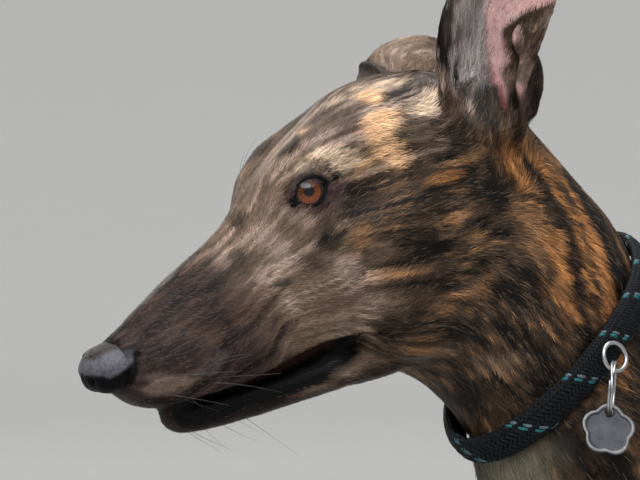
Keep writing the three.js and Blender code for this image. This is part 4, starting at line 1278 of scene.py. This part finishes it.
def tuft_mesh(name, roots, middles, tips, across, colors, patches):
    """One mesh of blades: two root points, two middle points and a tip, with shaded colours and bake patches."""
    count = len(roots)
    waist = across * 0.72
    corners = np.stack((roots - across, roots + across, middles - waist, middles + waist, tips), axis=1)
    faces = np.array(((0, 1, 3), (0, 3, 2), (2, 3, 4))) + np.arange(count)[:, None, None] * 5
    mesh = mesh_from(name, corners.reshape(-1, 3), faces.reshape(-1, 3))
    shades = np.array((0.72, 0.72, 0.98, 0.98, 1.22))
    paint(mesh, (colors[:, None, :] * shades[None, :, None]).reshape(-1, 3))
    spread = np.array(((0, 0), (1, 0), (0, 0.5), (1, 0.5), (0.5, 1))) * BAKE_PATCH
    corner_map = (patches[:, None, :] + spread).reshape(-1, 2)[faces.reshape(-1)]
    layer = mesh.uv_layers.new(name="OFBake")
    layer.data.foreach_set("uv", corner_map.astype(np.float32).ravel())
    return mesh


# %% How long, wide and dense the hair is


def hair(roots):
    """Length, half width, lift of the tip and share of hair kept, for each root."""
    part = follow(roots).part
    q, p = to_head(roots), to_body(roots)
    y = q[:, 1]
    length = np.interp(y, (0, 30, 80, 120, 180, 230, 270), (2, 2.6, 3.6, 4.6, 6.5, 8.5, 10))
    width = np.interp(y, (0, 60, 150, 230, 300), (0.13, 0.16, 0.2, 0.3, 0.42))
    lift = np.interp(y, (0, 60, 150, 230), (0.3, 0.4, 0.6, 0.9))
    share = np.interp(y, (0, 100, 200, 300), (1.25, 1.1, 0.9, 0.75))
    ear = is_part(part, *EARS) & (above_ear_root(q) > 0.5)
    length = np.where(ear, 3.6, length)
    width = np.where(ear, 0.16, width)
    lift = np.where(ear, 0.3, lift)
    front_fringe = ear & (q[:, 0] > 0) & (step(212, 204, y - (q[:, 2] - 60) * 0.2) > 0.5)
    length = np.where(front_fringe, 9, length)
    body = is_part(part, *LEGS, "trunk", "tail")
    legs = is_part(part, *LEGS)
    low = 1 - step(90, 420, p[:, 2])
    length = np.where(body, blend(13, 5, low * legs), length)
    length = np.where(is_part(part, "tail"), 11, length)
    belly = is_part(part, "trunk") & (p[:, 2] < 440)
    length = np.where(belly, 15, length)
    width = np.where(body, blend(0.55, 0.28, low * legs), width)
    lift = np.where(body, blend(0.9, 0.45, low * legs), lift)
    share = np.where(body, blend(0.8, 1.9, low * legs), share)
    share = np.where(is_part(part, "tail"), 2.2, share)
    return length, width, lift, share * bare_skin(q, p)


# %% Where no hair grows


def bare_skin(q, p):
    """0 where no hair grows: the eyes' openings, the lips' gap, the nose, the ear's hollow and the pads."""
    x, y, z = one_sided(q).T
    below = lip_edge(y) - z
    open_part = (below > -1.2) * (below < parting(y) + 3.5)
    mouth = step(3, 7, x) * stretch(18, 24, MOUTH_CORNER, MOUTH_CORNER + 2, y) * open_part
    kept = 1 - mouth
    kept *= step(13, 17, y + 0.4 * np.abs(z)) * step(0.8, 1.4, slit_distance(q)) * (1 - in_leather(q))
    for s in (LEFT, RIGHT):
        distance, r, b, u = lid_distance(q, s)
        kept = np.where(r < EYE_AREA, kept * step(1.2, 2.2, past_rim(distance, b, u)), kept)
    kept *= 1 - 0.75 * ear_hollow(q) * (z > 50)
    return kept * step(2.5, 5, p[:, 2]) * (np.abs((from_body(p) - COLLAR_PLACE) @ COLLAR_AXIS) > 3)


# %% Grow the coat


def grow(skin, name, count, seed):
    """All of one skin's tufts, cut into pieces of a size that stays easy to handle."""
    dice = np.random.default_rng(seed)
    points, triangles = points_of(skin.data), triangles_of(skin.data)
    roots = scatter(points, triangles, hair(points)[3], count, dice)
    length, width, lift, _ = hair(roots)
    lie = follow(roots)
    length = length * dice.uniform(0.7, 1.2, count)
    lift = lift * dice.uniform(0.3, 1.5, count)
    root, normal = pressed(roots, skin, np.full(count, -ROOT_DEPTH))
    turn = dice.normal(0, 0.16, count) + 0.5 * noise(roots, 26, seed)
    ahead = unit(lie.way - normal * (lie.way * normal).sum(axis=1)[:, None])
    aside = np.cross(normal, ahead)
    ahead = unit(ahead * np.cos(turn)[:, None] + aside * np.sin(turn)[:, None])
    across = np.cross(normal, ahead) * (width * dice.uniform(0.7, 1.3, count))[:, None]
    middle, _ = pressed(roots + ahead * (length * 0.5)[:, None], skin, lift * 0.75)
    tip, _ = pressed(roots + ahead * length[:, None], skin, lift)
    colors = coat_color(roots) * np.exp(dice.normal(0, 0.2, count))[:, None]
    colors = ticked(colors, roots, dice)
    patches = unrolled(lie)
    order = np.lexsort((lie.along, lie.part))
    pieces = []
    for number, batch in enumerate(np.array_split(order, math.ceil(count / TUFTS_IN_PIECE))):
        data = (root[batch], middle[batch], tip[batch], across[batch], colors[batch], patches[batch])
        pieces.append(object_from(tuft_mesh(f"{name}_{number + 1}", *data)))
    return pieces


def ticked(colors, roots, dice):
    """Some hairs are much paler or darker than their neighbours, which gives brindle its grain."""
    chance = dice.random(len(roots))
    light = colors.mean(axis=1)
    to_pale = (chance < 0.08) & (light < 0.1) & (light > 0.004)
    to_dark = (chance > 0.88) & (light > 0.1)
    colors = np.where(to_pale[:, None], blend(colors, TONE["fawn"], 0.55), colors)
    return np.where(to_dark[:, None], blend(colors, TONE["brown"], 0.6), colors)

# %% Hair material and the pieces of the coat
hair_finish = Finish("brindle_hair", Specular_IOR_Level=0.14)
strand = hair_finish.noise(1400, 2)
hair_finish.feed(
    Base_Color=hair_finish.tinted("coat", strand, (0.25, (0.82, 0.82, 0.82)), (0.75, (1.12, 1.1, 1.08))),
    Roughness=0.42 + strand * 0.2,
    Normal=hair_finish.bump(strand, 0.1, 0.4),
)
coat_pieces = grow(skin_head, "coat_head", HEAD_TUFTS, 11) + grow(skin_body, "coat_body", BODY_TUFTS, 12)
for piece in coat_pieces:
    piece.data.materials.append(hair_finish.material)
    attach(piece, "root")
print(len(coat_pieces), "coat pieces,", sum(len(piece.data.polygons) for piece in coat_pieces), "triangles")

# %% [markdown]
# ## Eyes
# Each eye is a closed ball whose front bulges a little more, as the clear cornea does. Its colours are set point by
# point, by the angle from the line of sight: a black pupil, an amber iris with fine rays and a dark rim, and brown
# beyond it, because almost no white shows in a greyhound's eye. The iris is painted darker at the top, as painted
# shade under the upper lid, and lighter below, as painted light. A wet gloss over it mirrors the lamps, as a real eye
# mirrors the sky.

# %% Eyeballs
IRIS_RADIUS = 6.2
PUPIL_RADIUS = 2.35
CORNEA_RISE = 0.3
PUPIL_BLACK = linear((0.03, 0.025, 0.025))
IRIS_AMBER = linear((0.47, 0.23, 0.08))
IRIS_BROWN = linear((0.13, 0.065, 0.035))
EYE_BROWN = linear((0.07, 0.04, 0.03))


def eyeball(s):
    centre, out, back, up = eye_axes(s)
    sight = unit(out + back * 0.19 + up * 0.02)
    aside = unit(np.cross(sight, up))
    points, faces = ball(96, 80)
    reach = np.arccos(np.clip(points[:, 2], -1, 1)) * EYE_RADIUS
    turn = np.arctan2(points[:, 1], points[:, 0])
    size = EYE_RADIUS + CORNEA_RISE * (1 - step(0, 7.5, reach))
    placed = (points * size[:, None]) @ np.array((aside, np.cross(sight, aside), sight)) + centre
    rays = noise(np.column_stack((np.cos(turn) * 9, np.sin(turn) * 9, reach * 0.35)), 1, 101)
    # The iris is painted lighter low down and darker at the top: painted light below, and painted shade under the
    # upper lid.
    low = np.sin(turn) * 0.5 + 0.5
    iris = blend(IRIS_BROWN, IRIS_AMBER, np.clip(0.1 + 0.35 * rays + 0.85 * low, 0, 1)[:, None])
    iris = blend(iris, IRIS_BROWN * 0.4, step(IRIS_RADIUS - 1.3, IRIS_RADIUS, reach)[:, None])
    color = blend(PUPIL_BLACK, iris, step(PUPIL_RADIUS - 0.3, PUPIL_RADIUS + 0.4, reach)[:, None])
    color = blend(color, EYE_BROWN, step(IRIS_RADIUS - 0.3, IRIS_RADIUS + 0.6, reach)[:, None])
    mesh = mesh_from("eyeball_left" if s == LEFT else "eyeball_right", from_head(placed), faces)
    paint(mesh, color, "iris")
    return object_from(mesh)


eye_finish = Finish("wet_eye", Coat_Weight=1.0, Coat_Roughness=0.03, Coat_IOR=1.38, Specular_IOR_Level=0.1)
fibres = eye_finish.noise(2600, 3)
eye_finish.feed(
    Base_Color=eye_finish.tinted("iris", fibres, (0.3, (0.8, 0.8, 0.8)), (0.7, (1.15, 1.1, 1.05))),
    Roughness=0.15 + fibres * 0.15,
)
for s, node in ((LEFT, "eye_left"), (RIGHT, "eye_right")):
    eye = eyeball(s)
    eye.data.materials.append(eye_finish.material)
    fit_out(eye, "eyes", node)

# %% [markdown]
# ## Nose leather
# The nose's solid gives its shape in broad facets. A fine remesh and a few rounds of smoothing round them off; a
# groove down the middle, a curved wing over each nostril and a pebbled grain are then pressed into its surface.

# %% Nose
NOSE_VOXEL = 0.6
NOSE_ROUNDS = 30.0
nose_mesh = remeshed([grown(*welded("nose"), 0.75)], NOSE_VOXEL)
nose_edges = read(nose_mesh.edges, "vertices", 2, np.int32)
nose_points = relaxed(points_of(nose_mesh), nose_edges, np.full(len(nose_mesh.vertices), NOSE_ROUNDS))
nose_normals = outward(nose_points, triangles_of(nose_mesh))
q = to_head(nose_points)
push = -groove(q[:, 0], 0.7) * step(4, 0, q[:, 2]) * 0.9
push += 0.5 * groove(np.hypot(np.abs(q[:, 0]) - 9, q[:, 2] - 1) - 5, 2) * (q[:, 1] > 4)
push -= 1.8 * groove(np.abs(q[:, 0]) - 10.5, 2.2) * groove(q[:, 2] + 4.5 - 0.2 * q[:, 1], 1.6) * step(1, 5, q[:, 1])
slit = groove(slit_distance(q), 0.9)
push -= 1.3 * slit
push += 0.05 * noise(nose_points, 1.2, 111) + 0.3
set_points(nose_mesh, nose_points + nose_normals * push[:, None])
nose_mesh.name = "nose_leather"
# The nose's colour: black leather with a grey painted highlight on its top.
paint(nose_mesh, leather_color_with_highlight(q), "shine")
nose = object_from(nose_mesh)
leather = Finish("nose_leather", Specular_IOR_Level=0.08)
pebbles_and_crevice_shade = leather.cells(1150)
damp = leather.noise(220, 2)
leather.feed(
    # The pebbles are painted lighter on their tops and darker in the crevices between them: painted shade.
    Base_Color=leather.tinted("shine", pebbles_and_crevice_shade * 0.6 + damp * 0.4, (0.1, (1.5, 1.45, 1.5)), (0.8, (0.6, 0.6, 0.6))),
    Roughness=0.42 + damp * 0.2,
    Normal=leather.bump(1 - pebbles_and_crevice_shade, 0.25, 0.6),
)
nose.data.materials.append(leather.material)
fit_out(nose, "nose_leather", "nose")
print("nose", len(nose_mesh.polygons), "quads")

# %% [markdown]
# ## Claws
# Horn is glossy and faintly streaked along its length. Each paw's four claws are rounded copies of their solids.

# %% Claws
horn = Finish("claw_horn", Specular_IOR_Level=0.5)
streaks = horn.noise(700, 4, 0.7)
horn.feed(
    Base_Color=horn.ramp(streaks, (0.3, (0.05, 0.036, 0.028)), (0.75, (0.014, 0.011, 0.01))),
    Roughness=0.3 + streaks * 0.25,
    Normal=horn.bump(streaks, 0.15, 0.5),
)
for paw in LEGS:
    names = [f"claw_{paw}_{toe}" for toe in (1, 2, 3, 4)]
    claw_mesh = rounded([grown(*welded(name), 0.15) for name in names], 2)
    claw_mesh.name = f"claws_{paw}"
    claw_mesh.shade_smooth()
    claw_mesh.materials.append(horn.material)
    claws = object_from(claw_mesh)
    fit_out(claws, "claws", *names)

# %% [markdown]
# ## Swept strands
# Whiskers, lashes, the collar's braid and the wire rings are all tubes along a path. One Geometry Nodes tree makes
# them: it sweeps a round profile along every curve of an object, scaled by the radius stored at each point. The tubes
# are then copied to a plain mesh, so that no modifier is left on the finished piece.

# %% The sweeping tree


def sweeping_tree():
    tree = bpy.data.node_groups.new("swept_strands", "GeometryNodeTree")
    face = tree.interface
    face.new_socket("Geometry", in_out="INPUT", socket_type="NodeSocketGeometry")
    face.new_socket("Sides", in_out="INPUT", socket_type="NodeSocketInt")
    face.new_socket("Material", in_out="INPUT", socket_type="NodeSocketMaterial")
    face.new_socket("Geometry", in_out="OUTPUT", socket_type="NodeSocketGeometry")
    nodes, link = tree.nodes, tree.links.new
    start, end = nodes.new("NodeGroupInput"), nodes.new("NodeGroupOutput")
    profile = nodes.new("GeometryNodeCurvePrimitiveCircle")
    profile.inputs["Radius"].default_value = 1
    radius = nodes.new("GeometryNodeInputRadius")
    sweep = nodes.new("GeometryNodeCurveToMesh")
    sweep.inputs["Fill Caps"].default_value = True
    realize = nodes.new("GeometryNodeRealizeInstances")
    material = nodes.new("GeometryNodeSetMaterial")
    smooth = nodes.new("GeometryNodeSetShadeSmooth")
    link(start.outputs["Sides"], profile.inputs["Resolution"])
    link(start.outputs["Geometry"], sweep.inputs["Curve"])
    link(profile.outputs["Curve"], sweep.inputs["Profile Curve"])
    link(radius.outputs["Radius"], sweep.inputs["Scale"])
    link(sweep.outputs["Mesh"], realize.inputs["Geometry"])
    link(realize.outputs["Geometry"], smooth.inputs["Geometry"])
    link(smooth.outputs["Geometry"], material.inputs["Geometry"])
    link(start.outputs["Material"], material.inputs["Material"])
    link(material.outputs["Geometry"], end.inputs["Geometry"])
    return tree

# %% Tubes along paths
SWEEPING = sweeping_tree()
SWEEP_INPUTS = {item.name: item.identifier for item in SWEEPING.interface.items_tree if item.in_out == "INPUT"}


def strands(name, paths, radii, finish, sides=6, closed=False):
    """A piece of tubes, one along each path of points in millimetres, with a radius at each point."""
    curves = bpy.data.curves.new(name, "CURVE")
    curves.dimensions = "3D"
    for path, radius in zip(paths, radii):
        spline = curves.splines.new("POLY")
        spline.points.add(len(path) - 1)
        spline.points.foreach_set("co", np.column_stack((path * MM, np.ones(len(path)))).astype(np.float32).ravel())
        spline.points.foreach_set("radius", (np.broadcast_to(radius, len(path)) * MM).astype(np.float32))
        spline.use_cyclic_u = closed
    piece = bpy.data.objects.new(name, curves)
    bpy.context.scene.collection.objects.link(piece)
    modifier = piece.modifiers.new("Sweep", "NODES")
    modifier.node_group = SWEEPING
    modifier[SWEEP_INPUTS["Sides"]] = sides
    modifier[SWEEP_INPUTS["Material"]] = finish.material
    mesh = evaluated(piece)
    mesh.name = name
    print(name, len(mesh.polygons), "faces")
    return object_from(mesh)


# %% [markdown]
# ## Whiskers and lashes
# Long stiff whiskers stand out of the muzzle's pad, the chin and the cheek; short lashes edge the upper lid. Each one
# starts in the skin and bends back with the coat.

# %% Whiskers and lashes
WHISKER_RADIUS = 0.13
LASH_RADIUS = 0.09


def bristle(root, lie, normal, length, stand, droop):
    """A hair that leaves the skin at a slant and bends back. Its root is a little under the skin."""
    t = np.linspace(0, 1, 9)[:, None]
    bend = unit(lie * (1 - stand) + normal * stand) * length
    return root - normal * 0.6 + bend * t + (lie * 0.25 - np.array((0, 0, droop))) * length * t**2


dice = np.random.default_rng(31)
whisker_paths, whisker_radii = [], []
for s in (LEFT, RIGHT):
    spots = [(s * x, y, z) for y in (24, 31, 38, 46, 55) for x, z in ((17, -6), (19, -13), (18, -20))]
    spots += [(s * 10, y, -42) for y in (36, 48, 62)] + [(s * 44, 150, -28), (s * 22, 104, 60), (s * 20, 100, 62)]
    rough = from_head(np.array(spots) + dice.normal(0, 1.2, (len(spots), 3)))
    roots, normals = pressed(rough, skin_head, np.zeros(len(spots)))
    for root, normal, lie in zip(roots, normals, follow(roots).way):
        length = dice.uniform(12, 27)
        whisker_paths.append(bristle(root, lie, normal, length, dice.uniform(0.45, 0.62), dice.uniform(0.05, 0.3)))
        whisker_radii.append(WHISKER_RADIUS * np.linspace(1, 0.2, 9))
    centre, out, back, up = eye_axes(s)
    for place in np.linspace(-3.5, 9, 30):
        height = almond_height(np.array([place]), np.array([1.0]))[0] + 0.5
        direction = unit(out * EYE_RADIUS + back * place + up * height)
        root = centre + direction * (EYE_RADIUS + 1.2)
        lash = bristle(root, unit(back * 0.5 + out * 0.3 - up * 0.15), direction, dice.uniform(2.2, 3.6), 0.6, 0.25)
        whisker_paths.append(from_head(lash))
        whisker_radii.append(LASH_RADIUS * np.linspace(1, 0.3, 9))# %% Whisker material and piece
bristle_finish = Finish("whisker", Roughness=0.4)
bristle_tones = (0.3, (0.02, 0.018, 0.018)), (0.8, (0.09, 0.08, 0.075))
bristle_finish.feed(Base_Color=bristle_finish.ramp(bristle_finish.noise(500), *bristle_tones))
whiskers = strands("whiskers", whisker_paths, whisker_radii, bristle_finish, sides=5)
fit_out(whiskers, "coat")

# %% [markdown]
# ## The braided collar
# The collar is a flattened round braid. Strands wind round its core in both ways, each over two and under two of the
# others, and a few strands of teal and of pale grey show as flecks where they come up. The collar's solid has rings
# of points round the neck: the mean of a ring is on the centre line, and the ring's own axes give the cord's flat
# section.

# %% Centre line of the cord
COLLAR_RINGS = 36
cord_points, _ = welded("collar")
spoke = cord_points - COLLAR_PLACE
spoke = spoke - np.outer(spoke @ COLLAR_AXIS, COLLAR_AXIS)
east = unit(np.cross(COLLAR_AXIS, (0, 0, 1)))
bearing = np.arctan2(spoke @ np.cross(COLLAR_AXIS, east), spoke @ east)
bearing = (bearing - bearing.min() + 0.05) % (2 * math.pi)
rings = cord_points[np.argsort(bearing)].reshape(COLLAR_RINGS, -1, 3)
ring_centres = rings.mean(axis=1)


def round_the_collar(values, count):
    """Values at the rings, spread smoothly over any number of places round the closed cord."""
    t = np.arange(count) / count * COLLAR_RINGS
    k = np.floor(t).astype(int)
    f = (t - k)[:, None]
    a, b, c, d = (values[(k + shift) % COLLAR_RINGS] for shift in (-1, 0, 1, 2))
    return b + 0.5 * f * (c - a + f * (2 * a - 5 * b + 4 * c - d + f * (3 * (b - c) + d - a)))


half_width = np.abs((rings - ring_centres[:, None]) @ COLLAR_AXIS).max(axis=1)
outs = unit(ring_centres - COLLAR_PLACE - np.outer((ring_centres - COLLAR_PLACE) @ COLLAR_AXIS, COLLAR_AXIS))
half_depth = np.abs(np.einsum("ijk,ik->ij", rings - ring_centres[:, None], outs)).max(axis=1)
print("collar", round(half_width.mean() * 2, 1), "mm wide,", round(half_depth.mean() * 2, 1), "mm thick")

# %% Braid
BRAID_STRANDS = 14
BRAID_TURNS = 13
STRAND_RADIUS = 0.95
BRAID_WAVE = 0.42
TRACERS = {"teal": ((1, 0),), "pale": ((1, 1),)}


def braid_strand(way, number):
    """A strand's path: round the core as it goes along the cord, waving out and in as it crosses the others."""
    crossings = 2 * BRAID_STRANDS * BRAID_TURNS
    count = crossings * 2
    place = np.arange(count) / count
    turn = 2 * math.pi * (way * BRAID_TURNS * place + number / BRAID_STRANDS)
    wave = way * np.cos(math.pi / 2 * (2 * number + way * place * crossings - 0.5)) * BRAID_WAVE
    centre, out = round_the_collar(ring_centres, count), unit(round_the_collar(outs, count))
    width = round_the_collar(half_width[:, None], count)[:, 0] - 0.9 + wave
    depth = round_the_collar(half_depth[:, None], count)[:, 0] - 0.8 + wave
    return centre + out * (depth * np.sin(turn))[:, None] + COLLAR_AXIS * (width * np.cos(turn))[:, None]


def cord_finish(name, dark, light):
    finish = Finish(name, Specular_IOR_Level=0.08)
    fibre = finish.noise(1800, 3)
    finish.feed(
        Base_Color=finish.ramp(fibre, (0.3, dark), (0.75, light)),
        Roughness=0.42 + fibre * 0.3,
        Normal=finish.bump(fibre, 0.15, 0.6),
    )
    return finish


every_strand = [(way, number) for way in (1, -1) for number in range(BRAID_STRANDS)]
tracers = [strand for group in TRACERS.values() for strand in group]
CORD_PAINT = {
    "dark": (((0.003, 0.0035, 0.004), (0.014, 0.015, 0.018)), [s for s in every_strand if s not in tracers]),
    "teal": (((0.004, 0.03, 0.035), (0.04, 0.2, 0.21)), TRACERS["teal"]),
    "pale": (((0.02, 0.03, 0.035), (0.16, 0.22, 0.25)), TRACERS["pale"]),
}
for shade, (tones, group) in CORD_PAINT.items():
    finish = cord_finish(f"cord_{shade}", *tones)
    paths = [braid_strand(*strand) for strand in group]
    braid = strands(f"collar_braid_{shade}", paths, [STRAND_RADIUS] * len(paths), finish, sides=5, closed=True)
    fit_out(braid, "cord", *(["collar"] if shade == "dark" else []))

# %% The cord's core
CORE_RINGS = 144
CORE_SIDES = 16
turn = np.linspace(0, 2 * math.pi, CORE_SIDES, endpoint=False)
core_centre, core_out = round_the_collar(ring_centres, CORE_RINGS), unit(round_the_collar(outs, CORE_RINGS))
core_width = round_the_collar(half_width[:, None], CORE_RINGS) - 1.4
core_depth = round_the_collar(half_depth[:, None], CORE_RINGS) - 1.3
core_points = core_centre[:, None] + core_out[:, None] * (core_depth * np.sin(turn))[..., None]
core_points += COLLAR_AXIS * (core_width * np.cos(turn))[..., None]
core_faces = ring_faces(CORE_RINGS, CORE_SIDES, closed=True)
core = object_from(mesh_from("collar_core", core_points.reshape(-1, 3), core_faces))
work = bmesh.new()
work.from_mesh(core.data)
bmesh.ops.recalc_face_normals(work, faces=work.faces[:])
work.to_mesh(core.data)
work.free()
core.data.materials.append(cord_finish("cord_core", (0.003, 0.003, 0.004), (0.012, 0.012, 0.014)).material)
fit_out(core, "cord")

# %% [markdown]
# ## Ring, link and tag
# The split ring is one wire wound twice round, the link a plain closed loop. The tag is a five-lobed plate with a
# raised, polished rim round a bare, finely brushed face. The ring and the link hang where their solids hang, so the
# place and plane of each are read from its solid: the middle of its points, and the direction in which it is
# thinnest. The tag hangs from a given point, along a given line, and faces a given way.

# %% Rings and tag
RING_WIRE = 0.62
LINK_WIRE = 1.05


def lie_of(node):
    """The middle of a flat node and its three own directions, the widest first and the thinnest last."""
    points, _ = welded(node)
    middle = (points.min(axis=0) + points.max(axis=0)) / 2
    points = points - points.mean(axis=0)
    _, _, directions = np.linalg.svd(points, full_matrices=False)
    low, high = (points @ directions.T).min(axis=0), (points @ directions.T).max(axis=0)
    return middle, directions, (high - low) / 2

# %% Steel, ring and link
steel = Finish("worn_steel", Metallic=1.0)
scratch = steel.noise(900, 5, 0.7)
scuff = steel.noise(240, 3)
steel.feed(
    Base_Color=steel.ramp(scuff, (0.3, (0.36, 0.36, 0.37)), (0.8, (0.52, 0.52, 0.52))),
    Roughness=0.2 + scratch * 0.25,
    Normal=steel.bump(scratch, 0.04, 0.5),
)
centre, (along_ring, across_ring, ring_axis), reach = lie_of("split_ring")
turn = np.linspace(0.15, 4 * math.pi - 0.15, 150)
radius = reach[:2].mean() - RING_WIRE
coil = np.outer(np.cos(turn), along_ring) * radius + np.outer(np.sin(turn), across_ring) * radius
step_over = (0, 2 * math.pi - 0.5, 2 * math.pi + 0.5, 4 * math.pi)
coil += np.outer(np.interp(turn, step_over, (-1, -1, 1, 1)) * RING_WIRE * 1.02, ring_axis)
ring = strands("split_ring_wire", [centre + coil], [RING_WIRE], steel, sides=12)
fit_out(ring, "steel", "split_ring")
centre, (along_ring, across_ring, ring_axis), reach = lie_of("link")
turn = np.linspace(0, 2 * math.pi, 64, endpoint=False)
loop = np.outer(np.cos(turn), along_ring) * (reach[0] - LINK_WIRE)
loop += np.outer(np.sin(turn), across_ring) * (reach[1] - LINK_WIRE)
link = strands("link_wire", [centre + loop], [LINK_WIRE], steel, sides=14, closed=True)
fit_out(link, "steel", "link")
print("rings", radius.round(1), reach.round(1))

# %% The tag's outline and plane
HANG_TOP = from_body((26.5, -395, 755))
HANG_END = from_body((33, -413, 711))
HANG_OUTWARD = np.array((0.75, -0.66, 0))
TAG_TURN = math.radians(-10)
TAG_HOLE_DROP = 33.3
TAG_HOLE_RADIUS = 2.3
TAG_HOLE_HEIGHT = 8.37
TAG_RADIUS = 10.2
TAG_LOBE = 0.21
TAG_SIDES = 160
HOLE_SIDES = 32
HOLE_REACH = 2
# How far in from the edge each ring of the plate is, and how high above its middle
TAG_RINGS = [
    (4, -1.0), (0.5, -1.0), (0, -0.6), (0, 0.6), (0.15, 0.88), (0.45, 1.0),
    (1.25, 1.0), (1.5, 0.9), (1.75, 0.62), (2.4, 0.6), (4, 0.6),
]

fall = unit(HANG_END - HANG_TOP)
facing = unit(HANG_OUTWARD - fall * (HANG_OUTWARD @ fall))
beside = np.cross(facing, fall)
tag_across = beside * math.cos(TAG_TURN) - facing * math.sin(TAG_TURN)
tag_facing = beside * math.sin(TAG_TURN) + facing * math.cos(TAG_TURN)
tag_middle = HANG_TOP + fall * (TAG_HOLE_DROP + TAG_HOLE_HEIGHT)


def on_tag(flat):
    return tag_middle + flat[:, :1] * tag_across - flat[:, 1:2] * fall + flat[:, 2:] * tag_facing


def capped(name, rings, middles):
    """A closed body of rings of points in the tag's plane, with a point in the middle of each end."""
    sides = len(rings[0])
    quads = ring_faces(len(rings), sides)
    first, last = np.arange(sides), np.arange(sides) + (len(rings) - 1) * sides
    back, front = np.full(sides, len(rings) * sides), np.full(sides, len(rings) * sides + 1)
    caps = (np.roll(first, -1), first, back), (last, np.roll(last, -1), front)
    triangles = np.vstack((quads[:, :3], quads[:, (0, 2, 3)], *(np.stack(cap, axis=-1) for cap in caps)))
    return object_from(mesh_from(name, on_tag(np.vstack(rings + middles)), triangles))


# %% The plate
angle = np.linspace(0, 2 * math.pi, TAG_SIDES, endpoint=False) + math.pi / 2
lobes = np.sqrt(np.cos(2.5 * (angle - math.pi / 2)) ** 2 + 0.03)
tag_rings = []
for inset, height in TAG_RINGS:
    soften = blend(TAG_LOBE, TAG_LOBE * 0.75, min(inset / 4, 1))
    radius = TAG_RADIUS * (1 + soften * lobes) - inset
    tag_rings.append(np.column_stack((radius * np.cos(angle), radius * np.sin(angle), np.full(TAG_SIDES, height))))
middles = [np.array(((0, 0, height),)) for height in (-1.0, 0.6)]
plate = capped("plate", tag_rings, middles)

# %% The hole for the ring
turn = np.linspace(0, 2 * math.pi, HOLE_SIDES, endpoint=False)
hole_circle = np.column_stack((np.cos(turn), np.sin(turn))) * TAG_HOLE_RADIUS + (0, TAG_HOLE_HEIGHT)
ends = (-HOLE_REACH, HOLE_REACH)
post = [np.column_stack((hole_circle, np.full(HOLE_SIDES, height))) for height in ends]
punch = capped("punch", post, [np.array(((0, TAG_HOLE_HEIGHT, height),)) for height in ends])
modifier = plate.modifiers.new("Hole", "BOOLEAN")
modifier.object = punch
modifier.operation = "DIFFERENCE"
tag_mesh = evaluated(plate)
bpy.data.objects.remove(punch)
tag_mesh.name = "tag_plate"
tag_mesh.set_sharp_from_angle(angle=math.radians(50))
tag = object_from(tag_mesh)

# %% Brushed face, and a raised rim painted lighter: its polish and a painted highlight
# The face is painted dark and the raised rim lighter: the rim's rubbed polish, and a painted highlight along it.
raised = step(0.7, 0.95, np.abs((points_of(tag_mesh) - tag_middle) @ tag_facing))
paint(tag_mesh, blend(np.array((0.05, 0.05, 0.055)), np.array((0.14, 0.14, 0.14)), raised[:, None]), "polish")
tag_steel = Finish("brushed_tag", Metallic=1.0)
brushing = tag_steel.noise(500, 6, 0.75)
rubbed = tag_steel.noise(150, 3)
tag_steel.feed(
    Base_Color=tag_steel.tinted("polish", rubbed, (0.3, (0.75, 0.75, 0.75)), (0.75, (1.3, 1.3, 1.3))),
    Roughness=0.34 + brushing * 0.3,
    Normal=tag_steel.bump(brushing, 0.06, 0.6),
)
tag_mesh.materials.append(tag_steel.material)
fit_out(tag, "steel", "tag")
print("tag", len(tag_mesh.polygons), "faces")
